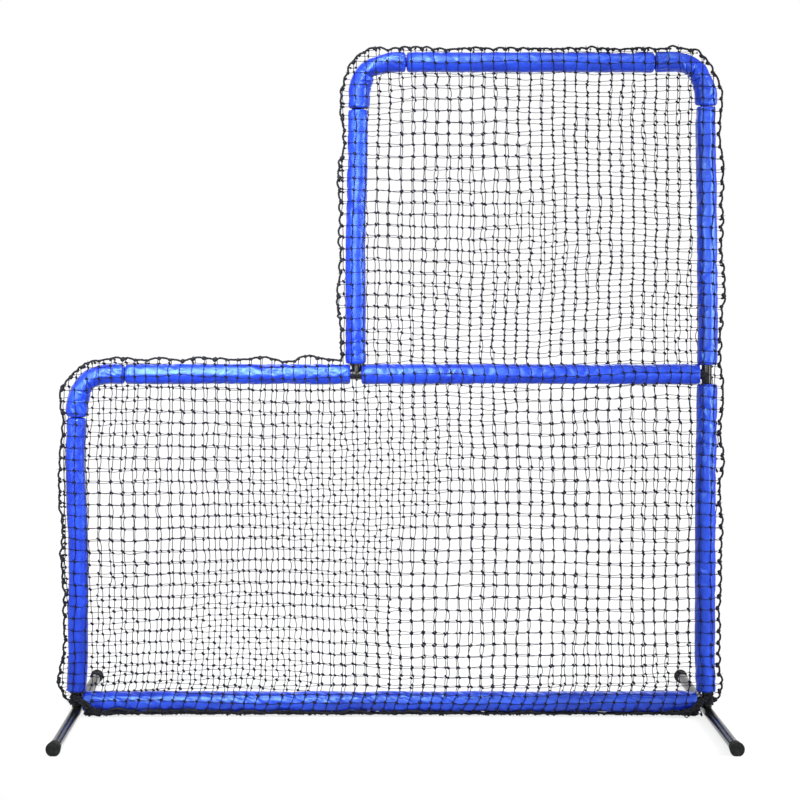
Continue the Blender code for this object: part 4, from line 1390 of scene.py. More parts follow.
@dataclass
class Padding:
    """All the pads of the screen: eight straight ones and three over the elbows."""

    outline: Outline
    finishes: Finishes
    press: ClothPress = field(default_factory=ClothPress)
    step: float = 0.0075
    shapes: dict[str, ElbowShape] = field(default_factory=lambda: {
        "top_left": ElbowShape(
            outer=((0.0, 0.037), (0.125, 0.0345), (0.318, 0.036), (0.494, 0.0388), (0.569, 0.036),
                   (0.633, 0.0318), (0.746, 0.0308), (0.821, 0.036), (0.932, 0.0382), (1.0, 0.0372)),
            inner=((0.0, 0.04), (0.125, 0.0445), (0.396, 0.043), (0.47, 0.033), (0.511, 0.0262),
                   (0.56, 0.0315), (0.681, 0.039), (0.85, 0.038), (1.0, 0.0362)),
            creases=((0.002, -0.01, 0.005, 0.0042), (0.012, 0.024, 0.003, 0.0034),
                     (-0.014, -0.034, 0.0032, 0.0036),
                     (-0.05, -0.012, 0.0018, 0.004), (0.048, 0.02, 0.0016, 0.004))),
        "top_right": ElbowShape(
            outer=((0.0, 0.0384), (0.095, 0.0396), (0.259, 0.0315), (0.344, 0.0305), (0.438, 0.039),
                   (0.55, 0.038), (0.7, 0.0365), (0.85, 0.0374), (1.0, 0.037)),
            inner=((0.0, 0.0402), (0.12, 0.0418), (0.259, 0.0422), (0.421, 0.0365), (0.5, 0.0318),
                   (0.529, 0.03), (0.65, 0.034), (0.771, 0.036), (1.0, 0.034)),
            creases=((0.004, 0.014, 0.005, 0.0044), (-0.012, -0.02, 0.0034, 0.0036),
                     (0.02, 0.04, 0.003, 0.0036),
                     (-0.04, -0.03, 0.0018, 0.0042), (0.06, 0.012, 0.0016, 0.004))),
        "low_left": ElbowShape(
            outer=((0.0, 0.0384), (0.065, 0.0396), (0.2, 0.0365), (0.319, 0.0355), (0.452, 0.0372),
                   (0.557, 0.0386), (0.66, 0.0345), (0.755, 0.0325), (0.88, 0.0355), (1.0, 0.0368)),
            inner=((0.0, 0.0385), (0.15, 0.0412), (0.308, 0.0425), (0.449, 0.0336), (0.5, 0.03),
                   (0.55, 0.0312), (0.75, 0.0368), (0.923, 0.0366), (1.0, 0.036)),
            creases=((0.000, 0.01, 0.0046, 0.0042), (0.014, 0.032, 0.003, 0.0034),
                     (-0.016, -0.016, 0.003, 0.0036),
                     (-0.046, -0.026, 0.002, 0.004), (0.044, 0.03, 0.0018, 0.004))),
    })

    def straight_route(self, label: str) -> Array:
        """List a straight pad's stations between the ends of its node, along its longest side."""
        low, high = (np.array(corner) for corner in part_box(f"pad_cover_{label}"))
        middle = (low + high) / 2
        axis = int(np.argmax(high - low))
        count = int((high - low)[axis] / self.step)
        ends = 0.5 * (1 - np.cos(np.linspace(0, math.pi, 9)))[:5] * 0.016
        body = np.linspace(0.012, (high - low)[axis] - 0.012, count)
        along = np.concatenate([ends[:4], body, ((high - low)[axis] - ends[:4])[::-1]])
        route = np.tile(middle, (len(along), 1))
        route[:, axis] = low[axis] + along
        return route

    def bent_route(self, label: str, corner: Pair, side: int) -> Array:
        """List an elbow pad's stations from its post end round the bend to its rail end."""
        low, high = (np.array(part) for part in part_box(f"pad_cover_{label}"))
        bend = self.outline.layout.bend_radius
        angle = np.linspace(math.pi if side > 0 else 0.0, math.pi / 2, 40)
        arc = np.stack([corner[0] + side * bend + bend * np.cos(angle), np.zeros(40),
                        corner[1] - bend + bend * np.sin(angle)], -1)
        rail_x = high[0] if side > 0 else low[0]
        line = np.concatenate([[[corner[0], 0.0, low[2]]], arc, [[rail_x, 0.0, corner[1]]]])
        length = length_along(line)
        ends = 0.5 * (1 - np.cos(np.linspace(0, math.pi, 9)))[:4] * 0.016
        body = np.linspace(0.011, length[-1] - 0.011, int(length[-1] / 0.003))
        even = np.concatenate([ends, body, (length[-1] - ends)[::-1]])
        return np.stack([np.interp(even, length, line[:, axis]) for axis in range(3)], -1)

    def build(self) -> None:
        """Make every cover and foam sleeve."""
        size = self.outline.layout
        routes = {label: self.straight_route(label) for label in (
            "top_rail", "low_top_rail", "crossbar", "inner_post", "right_post_upper", "right_post_lower",
            "left_post", "bottom_rail")}
        corners = {"top_left": ((size.inner, size.top_rail), 1),
                   "top_right": ((size.right, size.top_rail), -1),
                   "low_left": ((size.left, size.crossbar), 1)}
        for label, (corner, side) in corners.items():
            routes[label] = self.bent_route(label, corner, side)
        covers = {}
        for number, (label, route) in enumerate(routes.items()):
            every = 6 if label in corners else 3
            FoamSleeve(label, route[2 * every:-2 * every:every]).build(self.finishes)
            swayed = route.copy()
            swayed[:, 0] += self.outline.sway(route[:, 0], route[:, 2])
            covers[label] = PadCover(label, swayed, seed=40 + 7 * number)
            if label in corners:
                covers[label].shape, covers[label].sides = self.shapes[label], 72
                covers[label].bend_at = self.bend_share(route, corners[label][0])
                covers[label].inner_deg = 0.0 if corners[label][1] > 0 else 180.0
        grids = {label: cover.grid() for label, cover in covers.items()}
        grids = self.press.relax(grids, tuple(corners))
        for label, cover in covers.items():
            cover.build(grids[label], self.finishes)

    def bend_share(self, route: Array, corner: Pair) -> float:
        """Give where along a bent route its point nearest the corner lies, from 0 to 1."""
        length = length_along(route)
        nearest = np.argmin(np.hypot(route[:, 0] - corner[0], route[:, 2] - corner[1]))
        return float(length[nearest] / length[-1])


def twisted(paths: Array, radius: Array | float, lay: float, sides: int, reference: Array,
            lobes: int = 3, depth: float = 0.16) -> Shell:
    """Make laid cords: the section has a few lobes that turn once in each lay of length.

    The radius is its mean times one plus a share of the cosine of the lobes' angle.

    Args:
        paths: Stations, of shape (cords, stations, 3).
        radius: Mean radius, broadcast to (cords, stations).
        lay: Length of a full turn in metres.
        sides: Number of points round the section.
        reference: Direction that no path runs along.
        lobes: Number of strands in the cord.
        depth: Share of the radius that the lobes rise and fall.

    Returns:
        One shell with all the cords.
    """
    steps = np.linalg.norm(np.diff(paths, axis=1), axis=-1)
    along = np.concatenate([np.zeros((len(paths), 1)), np.cumsum(steps, axis=1)], axis=1)
    angle = full_turn(sides)
    lobe = np.cos(lobes * (angle[None, None] - TAU * along[..., None] / lay))
    mean = np.broadcast_to(radius, paths.shape[:2])[..., None]
    return tubes(paths, mean * (1.0 + depth * lobe), sides, reference)


def lumps(places: Array, toward: Array, length: float, radius: float, seed: int | np.random.Generator,
          sizes: Pair = (0.8, 1.25), uneven: Pair = (0.78, 1.2),
          reference: Array = BACK + 0.21 * UP + 0.13 * RIGHT) -> Shell:
    """Make small uneven knots, each an oval lump along its own direction.

    Args:
        places: Middles, of shape (knots, 3).
        toward: Direction of each knot.
        length: Half of its length.
        radius: Its thickness from the middle.
        seed: Seed or source of chance for the unevenness.
        sizes: Smallest and largest share of the nominal size.
        uneven: Smallest and largest share of the radius at any one point.
        reference: Direction that no knot runs along.

    Returns:
        One shell with all the knots.
    """
    rng = np.random.default_rng(seed)
    profile = np.array([[-1.0, -0.62, 0.0, 0.62, 1.0], [0.42, 0.9, 1.0, 0.9, 0.42]])
    share, swell = profile[:, None, :, None]
    size = rng.uniform(*sizes, (len(places), 1, 1))
    paths = places[:, None] + length * size * share * unit(toward)[:, None]
    thick = radius * size * swell * rng.uniform(*uneven, (len(places), 5, 6))
    return tubes(paths, thick, 6, reference, uv=False)


@dataclass
class BorderRope:
    """The laid cord that the bag is bound to, lashed where strands meet it, with frayed ends."""

    outline: Outline
    crossings: Array
    rear_crossings: Array
    radius: float = 0.0036
    step: float = 0.0032
    arch: Pair = (0.003, 0.0086)
    lay: float = 0.021
    lashing_radius: float = 0.00105
    lashing_lay: float = 0.019
    lashing_reach: float = 0.0039
    knot: Pair = (0.008, 0.0072)
    rear_knot: Pair = (0.0058, 0.004)
    fray_count: int = 130
    seed: int = 77

    def path(self) -> tuple[Array, Array, Array]:
        """Work out the cord's line: the border, pushed outward in a shallow arch between lashings.

        The arch is its own height times the sine of pi times the share of the way between two meshes.

        Returns:
            The stations (stations, 3), outward normals (stations, 2) and the lashed stations' numbers.
        """
        route = border_route(self.outline, self.step)
        normals = outward_normals(route)
        gaps = np.linalg.norm(route[None] - self.crossings[:, None], axis=-1)
        lashed = np.unique(np.argmin(gaps, axis=1)[gaps.min(axis=1) < 0.02])
        lashed = lashed[np.concatenate([[True], np.diff(lashed) > 5])]
        marks = np.concatenate([[0], lashed, [len(route) - 1]])
        number = np.arange(len(route))
        span = np.clip(np.searchsorted(marks, number, side="right") - 1, 0, len(marks) - 2)
        share = (number - marks[span]) / np.maximum(marks[span + 1] - marks[span], 1)
        rng = np.random.default_rng(self.seed)
        rise = rng.uniform(*self.arch, len(marks))[span]
        size = self.outline.layout
        over_low = smooth((route[:, 0] - size.left - 0.13) / 0.1) * (route[:, 0] < size.inner)
        rise = rise * (1.0 - 0.45 * over_low * smooth((size.crossbar + 0.14 - route[:, 1]) / 0.05))
        route = route + (rise * np.sin(math.pi * share))[:, None] * normals
        loose = 0.002 * wander(route[:, 0], route[:, 1], 0.2, self.seed + 1)
        even = np.cumsum(np.full(len(route), self.step))
        kink = 0.0011 * wander(even, number * 0.0, 0.055, self.seed + 9)
        route = route + kink[:, None] * normals
        return np.stack([route[:, 0], loose, route[:, 1]], -1), normals, lashed

    def build(self, finishes: Finishes) -> None:
        """Make the cord, its lashing twine, the knots on it and the frayed ends."""
        line, normals, lashed = self.path()
        line = self.with_tails(line)
        offset = (len(line) - len(normals)) // 2
        cord = twisted(line[None], self.radius, self.lay, 14, BACK, depth=0.17)
        along = length_along(line)
        first, second = ring_axes(line[None], BACK)
        spin = TAU * along / self.lashing_lay + 0.9 * wander(along, along * 0, 0.12, self.seed + 2)
        off = np.cos(spin)[:, None] * first[0] + np.sin(spin)[:, None] * second[0]
        helix = line + self.lashing_reach * off
        lashing = tubes(helix[None], self.lashing_radius, 5, BACK + 0.3 * UP + 0.2 * RIGHT)
        rng = np.random.default_rng(self.seed + 3)
        marks = lashed + offset
        toward = unit(line[np.minimum(marks + 2, len(line) - 1)] - line[marks - 2])
        toward = toward + rng.normal(0.0, 0.35, toward.shape)
        places = line[marks] + rng.normal(0.0, 0.0008, (len(marks), 3))
        knots = lumps(places, toward, *self.knot, self.seed + 4)
        rear = self.rear_crossings
        back = np.stack([rear[:, 0], np.full(len(rear), 0.0025), rear[:, 1]], -1)
        back_knots = lumps(back, rng.normal(0.0, 1.0, back.shape), *self.rear_knot, self.seed + 5)
        shell = Shell.joined([cord, lashing, knots, back_knots, self.frayed(line, marks, rng)])
        dressed(shell.put("border_cord", finishes.rope), Body.FRAME, Slot.ROPE, "net_border_rope")
        LOG.info("border cord is %.2f m long, with %d lashings", along[-1], len(marks))

    def with_tails(self, line: Array) -> Array:
        """Carry both ends of the cord down and in to the foot posts, where they are tied.

        Args:
            line: Stations from the left foot to the right foot.

        Returns:
            The longer line.
        """
        size = self.outline.layout
        tails = []
        for start, post, side in ((line[0], size.left, 1.0), (line[-1], size.right, -1.0)):
            u = np.linspace(0.0, 1.0, 15)[1:, None]
            end = np.array([post - side * 0.0225, -0.012, 0.0465])
            bend = np.array([start[0], start[1] - 0.004, end[2] + 0.004])
            tails.append((1 - u) ** 2 * start + 2 * u * (1 - u) * bend + u ** 2 * end)
        return np.concatenate([tails[0][::-1], line, tails[1]])

    def frayed(self, line: Array, marks: Array, rng: np.random.Generator) -> Shell:
        """Make the loose twine ends that stand off some of the knots.

        Args:
            line: Stations of the cord.
            marks: Numbers of the lashed stations.
            rng: The seeded source of chance.

        Returns:
            Tapered ends, on knots drawn by chance, so some have several and some none.
        """
        chosen = rng.choice(marks, self.fray_count)
        tangent = unit(line[np.minimum(chosen + 2, len(line) - 1)] - line[chosen - 2])
        outward = np.cross(tangent, BACK) * -1.0
        from_middle = line[chosen] - np.array([0.3, 0.0, 1.2])
        outward = outward * np.sign((outward * from_middle).sum(-1, keepdims=True))
        toward = unit(outward + rng.normal(0.0, 0.55, outward.shape) * np.array([1.0, 0.8, 1.0]))
        length = rng.uniform(0.006, 0.015, (len(chosen), 1, 1))
        u = np.linspace(0.0, 1.0, 4)[None, :, None]
        curl = rng.normal(0.0, 0.003, (len(chosen), 1, 3))
        paths = line[chosen][:, None] + toward[:, None] * length * u + curl * u ** 2
        taper = np.array([0.0011, 0.001, 0.0008, 0.0004])[None, :, None]
        return tubes(paths, taper, 5, BACK + 0.27 * UP - 0.31 * RIGHT)


@dataclass
class GatheredHem:
    """The foot of the bag: cords and meshes gathered under the bottom rail, knotted at the posts."""

    outline: Outline
    seed: int = 91
    cord_count: int = 11
    gather_count: int = 330
    knot_count: int = 300
    loop_count: int = 18
    tie_count: int = 5
    sling_count: int = 7
    ground_gap: float = 0.0006

    def fullness(self, x: Array) -> Array:
        """Give how far the gathers spread round the rail's pad at each place, from 0 to about 1."""
        keys = ((-1.14, 1.0), (-0.8, 0.9), (-0.3, 0.72), (0.3, 0.62), (0.72, 0.46), (0.98, 0.5),
                (1.08, 0.95), (1.14, 1.0))
        return np.interp(x, *np.array(keys).T) * (1.0 + 0.1 * wander(x, x * 0, 0.14, self.seed))

    def round_pad(self, x: Array, angle: Array, reach: Array) -> Array:
        """Put places on a circle round the rail: the angle is 0 straight down and grows forward."""
        rail = self.outline.layout.bottom_rail
        forward, height = -reach * np.sin(angle), rail - reach * np.cos(angle)
        return np.stack(np.broadcast_arrays(x, forward, height), -1)

    def cords(self) -> Shell:
        """Make the cords that run along the gathers, each at its own drifting angle."""
        size = self.outline.layout
        rng = np.random.default_rng(self.seed + 1)
        count, stations = self.cord_count, 430
        x = np.linspace(size.left + 0.036, size.right - 0.04, stations)[None] + np.zeros((count, 1))
        base = np.radians(np.linspace(-42.0, 56.0, count))[:, None]
        phase = rng.uniform(0.0, 50.0, (count, 1))
        angle = base * self.fullness(x) + 0.1 * wander(x + phase, phase, 0.16, self.seed + 2)
        angle += 0.05 * wander(x - phase, phase, 0.045, self.seed + 3)
        reach = 0.0428 + 0.0016 * np.abs(wander(x + phase, -phase, 0.08, self.seed + 4))
        paths = self.round_pad(x, angle, reach)
        thick = rng.uniform(0.0019, 0.0032, (count, 1))
        thick = thick * (1.0 + 0.22 * wander(x, phase, 0.05, self.seed + 5))
        lifted(paths, 0.0062)
        return twisted(paths, np.clip(thick, 0.0012, 0.0046), 0.016, 8, BACK)

    def gathers(self) -> Shell:
        """Make the net's last meshes that come down over the cords, bunched and leaning."""
        size = self.outline.layout
        rng = np.random.default_rng(self.seed + 6)
        count = self.gather_count
        x = rng.uniform(size.left + 0.045, size.right - 0.05, count)
        u = np.linspace(0.0, 1.0, 7)
        top = np.radians(rng.uniform(38.0, 66.0, count)) * self.fullness(x)
        low = np.radians(rng.uniform(-45.0, 5.0, count)) * self.fullness(x)
        angle = low[:, None] + (top - low)[:, None] * u
        lean = rng.normal(0.01, 0.014, count)[:, None] * u
        lean = lean + rng.normal(0.0, 0.006, count)[:, None] * u ** 2
        reach = 0.0455 + rng.uniform(-0.0015, 0.0022, (count, 1)) - 0.0035 * u ** 3
        paths = self.round_pad(x[:, None] + lean, angle, reach)
        lifted(paths, 0.0036)
        return tubes(paths, rng.uniform(0.001, 0.0019, (count, 1, 1)), 5, RIGHT + 0.05 * UP)

    def knots(self) -> Shell:
        """Make the knots in the gathers, where columns of the net end."""
        size = self.outline.layout
        rng = np.random.default_rng(self.seed + 7)
        count = self.knot_count
        x = rng.uniform(size.left + 0.04, size.right - 0.045, count)
        angle = np.radians(rng.uniform(-40.0, 58.0, count)) * self.fullness(x)
        places = self.round_pad(x, angle, 0.045 + rng.uniform(-0.001, 0.0022, count))
        lifted(places, 0.005)
        toward = np.stack([rng.normal(middle, reach, count)
                           for middle, reach in ((0.6, 0.4), (0.0, 0.2), (-0.3, 0.5))], -1)
        return lumps(places, toward, 0.006, 0.0038, self.seed + 8)

    def bunch(self, post: float, side: float, seed: int) -> Shell:
        """Make the ties and slack loops of twine at one foot post.

        Every loop is an oval of its own centre, size and tilt, bent out of true by a wave of two.

        Args:
            post: Axis of the post along X.
            side: Direction from the post to the rail, +1 or -1.
            seed: Seed of the loops.

        Returns:
            The loops, ties, sling cords and knots of this foot.
        """
        rng = np.random.default_rng(seed)
        turn = full_turn(24)
        count = self.loop_count
        slope = np.radians(rng.uniform(-15.0, 62.0, count))
        from_post = rng.uniform(0.034, 0.092, count)
        middle = self.round_pad(post + side * from_post, slope, rng.uniform(0.0435, 0.05, count))
        axis = unit(np.stack([rng.normal(0.0, 0.4, count), -np.sin(slope) - 0.3, -np.cos(slope)], -1)
                    + rng.normal(0.0, 0.25, (count, 3)))
        across = unit(np.cross(axis, UP + 0.01))
        other = np.cross(axis, across)
        wide, high = rng.uniform(0.005, 0.014, (2, count, 1))
        warp = 1.0 + 0.25 * np.cos(2 * turn[None] + rng.uniform(0, 6, (count, 1)))
        loops = (middle[:, None] + (wide * warp * np.cos(turn))[..., None] * across[:, None]
                 + (high * warp * np.sin(turn))[..., None] * other[:, None])
        lifted(loops, 0.0048)
        away = side * (loops[..., 0] - post)
        loops[..., 0] += side * np.maximum(0.027 - away, 0.0) * (loops[..., 2] < 0.05)
        thick = rng.uniform(0.0013, 0.0024, (count, 1, 1))
        slack = tubes(loops, thick, 6, unit(axis)[:, None], closed=True)
        rounds = self.tie_count
        height = np.linspace(0.049, 0.069, rounds)[:, None]
        height = height + 0.0016 * np.sin(turn + rng.uniform(0, 6, (rounds, 1)))
        far = 0.0212 + rng.uniform(0.0, 0.0022, (rounds, 1)) + 0.0 * turn
        front = np.where(np.cos(turn) * side > 0.55, 0.006, 0.0)
        wraps = np.stack([post + far * np.cos(turn), (far + front) * np.sin(turn), height], -1)
        ties = tubes(wraps, 0.0021, 6, UP, closed=True)
        places = loops[:, ::8].reshape(-1, 3) + rng.normal(0.0, 0.001, (count * 3, 3))
        lifted(places, 0.0055)
        tied = lumps(places, rng.normal(0.0, 1.0, places.shape), 0.0062, 0.004, seed + 1)
        return Shell.joined([slack, ties, self.sling(post, side, seed + 2), tied])

    def sling(self, post: float, side: float, seed: int) -> Shell:
        """Make the gathered cords that run from the front of a foot post down into the hem.

        Each cord runs straight between six places, is smoothed once, and wanders slowly off that line.

        Args:
            post: Axis of the post along X.
            side: Direction from the post to the rail, +1 or -1.
            seed: Seed of the cords.

        Returns:
            The cords.
        """
        rng = np.random.default_rng(seed)
        keys = np.array([[-0.02, -0.019, 0.08], [0.006, -0.03, 0.072], [0.034, -0.044, 0.059],
                         [0.056, -0.048, 0.038], [0.09, -0.039, 0.02], [0.15, -0.03, 0.014]])
        count, u = self.sling_count, np.linspace(0.0, 1.0, 34)
        spread = np.linspace(-1.0, 1.0, count)[:, None]
        marks = np.linspace(0.0, 1.0, len(keys))
        base = np.stack([np.interp(u, marks, keys[:, axis]) for axis in range(3)], -1)
        base[1:-1] = (base[:-2] + 2.0 * base[1:-1] + base[2:]) / 4.0
        paths = np.broadcast_to(base, (count, 34, 3)).copy()
        paths[..., 0] += 0.011 * spread * (0.3 + u) + 0.002 * rng.normal(0.0, 1.0, (count, 1))
        paths[..., 2] += 0.005 * spread * (1.0 - 0.45 * u)
        drift = 0.0016 * wander(u[None] + spread, spread * 0.7 + u * 0.0, 0.5, seed)
        paths[..., 1] += drift - 0.002 * np.abs(spread)
        paths[..., 0] = post + side * paths[..., 0]
        lifted(paths, 0.0062)
        paths += 0.0016 * rng.normal(0.0, 1.0, paths.shape) * np.sin(math.pi * u)[None, :, None]
        cords = twisted(paths, rng.uniform(0.0017, 0.003, (count, 1)), 0.016, 9, BACK + 0.1 * UP)
        places = paths[:, 3:-3:3].reshape(-1, 3) + rng.normal(0.0, 0.0012, (count * 10, 3))
        lifted(places, 0.0062)
        tied = lumps(places, rng.normal(0.0, 1.0, places.shape), 0.0062, 0.0042, seed + 1)
        return Shell.joined([cords, tied])

    def cord_loop(self) -> Shell:
        """Make the small loop of cord that hangs off the hem beside the right foot."""
        turn = full_turn(24)
        size = self.outline.layout
        loop = np.stack([size.right - 0.083 + 0.012 * np.cos(turn) + 0.003 * np.sin(2 * turn),
                         -0.05 - 0.002 * np.sin(turn), 0.0175 + 0.0125 * np.sin(turn)], -1)
        return tubes(loop[None], 0.0019, 8, BACK, closed=True)

    def build(self, finishes: Finishes) -> None:
        """Make the hem and the bunch at each foot post."""
        size = self.outline.layout
        hem = Shell.joined([self.cords(), self.gathers(), self.knots()])
        lifted(hem.points, self.ground_gap)
        dressed(hem.put("gathered_hem", finishes.rope), Body.FRAME, Slot.NET, "net_bottom_hem")
        feet = (("left", size.left, 1.0, 301), ("right", size.right, -1.0, 402))
        for label, post, side, seed in feet:
            shells = [self.bunch(post, side, seed)] + ([self.cord_loop()] if side < 0 else [])
            shell = Shell.joined(shells)
            lifted(shell.points, self.ground_gap)
            piece = shell.put(f"corner_bunch_{label}", finishes.rope)
            dressed(piece, Body.FRAME, Slot.NET, "net_bottom_hem")


@dataclass
class CrossLeg:
    """A cross leg with its upright spigot and its two rubber end caps."""

    layout: Layout
    post: float
    body: Body
    label: str

    def saddle_bead(self, across: float, held: float, place: Triple,
                    thickness: float) -> Shell:
        """Make the weld bead where one round tube stands on another.

        The seam's height above the lower axis is the root of its radius squared less the square of
        the place across it; the bead swells and shrinks a little as it goes round.

        Args:
            across: Radius of the upright tube.
            held: Radius of the lower tube.
            place: Where both axes cross.
            thickness: Mean radius of the bead.

        Returns:
            A closed bead.
        """
        turn = full_turn(96)
        x, y = across * np.cos(turn), across * np.sin(turn)
        seam = np.stack([x, y, np.sqrt(np.maximum(held ** 2 - x ** 2, 0.0))], -1) + np.asarray(place)
        swell = thickness * (1.0 + 0.16 * np.sin(turn * 24))
        return tubes(seam[None], swell[None, :, None], 8, UP + 0.02 * BACK, closed=True)

    def build(self, finishes: Finishes) -> None:
        """Make the leg tube with its spigot, and both caps."""
        size = self.layout
        place = (self.post, 0.0, size.leg_axis)
        half = size.leg_length / 2 - size.cap_wall - size.touch_gap
        tube = pipe(size.tube_radius, size.bore, -half, half, place, BACK)
        spigot = pipe(size.spigot, size.spigot_bore, 0.0175, size.tube_radius + size.leg_spigot,
                      place, UP)
        fillet = self.saddle_bead(size.spigot - 0.0003, size.tube_radius, place, 0.00045)
        leg = Shell.joined([tube, spigot, fillet]).put(f"gloss_{self.label}", finishes.enamel, 35.0)
        dressed(leg, self.body, Slot.ENAMEL, self.label)
        for end, side in (("front", -1.0), ("rear", 1.0)):
            cap = self.cap_shell(side).put(f"rubber_{self.label}_cap_{end}", finishes.rubber, 32.0)
            dressed(cap, self.body, Slot.RUBBER, f"{self.label}_cap_{end}")

    def cap_shell(self, side: float) -> Shell:
        """Make a rubber cap: domed face, rolled flange, ribbed skirt, and flat where it stands.

        Args:
            side: -1 for the front end of the leg and +1 for the rear end.

        Returns:
            The closed cap.
        """
        size = self.layout
        skirt, flange = size.tube_radius + size.touch_gap + 0.0032, size.cap_radius
        bore = size.tube_radius + size.touch_gap
        outer = [(0.0, 0.0008), (0.006, 0.0008), (0.0075, 0.0000), (0.0175, 0.0000), (0.019, 0.0009),
                 (0.0205, 0.0009), (0.0215, 0.0001), (flange - 0.002, 0.0003), (flange - 0.0006, 0.0012),
                 (flange, 0.0032), (flange, 0.0076), (flange - 0.0007, 0.0093), (flange - 0.002, 0.01),
                 (skirt + 0.0012, 0.0104), (skirt, 0.012)]
        ribs = [(skirt + lift, depth) for start in (0.018, 0.025, 0.032)
                for lift, depth in ((0.0, start), (0.0006, start + 0.0007), (0.0006, start + 0.0023),
                                    (0.0, start + 0.003))]
        hem = [(skirt, size.cap_length - 0.0008), (skirt - 0.0007, size.cap_length),
               (bore + 0.0003, size.cap_length), (bore, size.cap_length - 0.0006), (bore, size.cap_wall),
               (0.0, size.cap_wall)]
        axis = BACK * -side
        place = (self.post, side * size.leg_length / 2, size.leg_axis)
        shell = turned(outer + ribs + hem, place, axis, sides=56)
        lifted(shell.points, 0.0)
        return shell


@dataclass
class BareTubes:
    """The frame's parts that show between the pads: the Ts, the foot posts, the bottom rail."""

    layout: Layout

    def fitting_profile(self, arm: float, body: float) -> list[Pair]:
        """List half of a T's section, from its middle up the body to the rounded spigot's end."""
        size = self.layout
        tip = arm + size.spigot_length
        return [(body, 0.0), (body, arm - 0.004), (size.spigot + 0.0002, arm - 0.0002), (size.spigot, arm),
                (size.spigot, tip - 0.001), (size.spigot - 0.0006, tip)]

    def tee(self, name: str, centre: Pair, run: Array, branch: Array,
            finishes: Finishes) -> None:
        """Make a T: an open run with a branch welded on it.

        Args:
            name: Name of its node.
            centre: Where the axes cross, (x, z).
            run: Direction of the run.
            branch: Direction of the branch.
            finishes: The screen's finishes.
        """
        size = self.layout
        place = (centre[0], 0.0, centre[1])
        half = self.fitting_profile(size.tee_arm, size.tube_radius)
        outer = [(radius, -height) for radius, height in reversed(half)] + half[1:]
        inner = [(size.spigot_bore, half[-1][1]), (size.spigot_bore, -half[-1][1])]
        main_run = turned(outer + inner, place, run, closed=True)
        arm = [(size.tube_radius - 0.00015, 0.002), *half[1:], (size.spigot_bore, half[-1][1]),
               (size.spigot_bore, 0.002)]
        side_arm = turned(arm, place, branch, closed=True)
        turn = full_turn(120)
        across = np.cross(run, branch)
        level, side = (size.tube_radius * wave(turn)[:, None] for wave in (np.cos, np.sin))
        seam = np.asarray(place) + level * run + side * across + np.abs(level) * branch
        swell = 0.0014 * (1.0 + 0.18 * np.sin(turn * 30))
        bead = tubes(seam[None], swell[None, :, None], 8, branch + 0.03 * across, closed=True)
        piece = Shell.joined([main_run, side_arm, bead]).put(f"gloss_{name}", finishes.enamel, 35.0)
        dressed(piece, Body.FRAME, Slot.ENAMEL, name)

    def foot_post(self, name: str, post: float, top: float, side: float, finishes: Finishes) -> None:
        """Make a lower post whose foot is cut to sit on the leg, with the rail's stub.

        The cut edge's height above the leg's axis is the root of the leg's radius squared less the
        square of the place across it.

        Args:
            name: Name of its node.
            post: Axis of the post along X.
            top: Height of its upper end.
            side: Direction to the rail, +1 or -1.
            finishes: The screen's finishes.
        """
        size, sides = self.layout, 56
        turn = full_turn(sides)
        rings = []
        saddle = size.tube_radius + size.touch_gap
        for radius, is_foot in ((size.tube_radius, True), (size.tube_radius, False),
                                (size.bore, False), (size.bore, True)):
            x, y = radius * np.cos(turn), radius * np.sin(turn)
            foot = size.leg_axis + np.sqrt(np.maximum(saddle ** 2 - x ** 2, 0.0))
            rings.append(np.stack([post + x, y, foot if is_foot else np.full_like(x, top)], -1))
        walls = Shell(np.concatenate(rings), [grid_faces(4, sides, wrap_rows=True)])
        place = (post, 0.0, size.bottom_rail)
        stub = pipe(size.spigot, size.spigot_bore, 0.0155, size.tube_radius + size.spigot_length,
                    place, RIGHT * side)
        piece = Shell.joined([walls, stub]).put(f"gloss_{name}", finishes.enamel, 35.0)
        dressed(piece, Body.FRAME, Slot.ENAMEL, name)

    def build(self, finishes: Finishes) -> None:
        """Make both Ts, both foot posts and the bottom rail."""
        size = self.layout
        self.tee("tee_left", (size.inner, size.crossbar), RIGHT, UP, finishes)
        self.tee("tee_right", (size.right, size.crossbar), UP, -RIGHT, finishes)
        top = size.crossbar - size.touch_gap
        self.foot_post("left_post", size.left, top - size.elbow_arm, 1.0, finishes)
        self.foot_post("right_post_lower", size.right, top - size.tee_arm, -1.0, finishes)
        past = size.tube_radius + 0.001
        low, high = size.left + past, size.right - past
        rail = pipe(size.tube_radius, size.bore, 0.0, high - low, (low, 0.0, size.bottom_rail), RIGHT)
        dressed(rail.put("gloss_bottom_rail", finishes.enamel, 35.0), Body.FRAME, Slot.ENAMEL, "bottom_rail")


@dataclass(frozen=True)
class SoftBox:
    """A flat studio lamp that faces a target."""

    name: str
    place: Triple
    target: Triple
    size: Pair
    power: float
    spread: float = 180.0


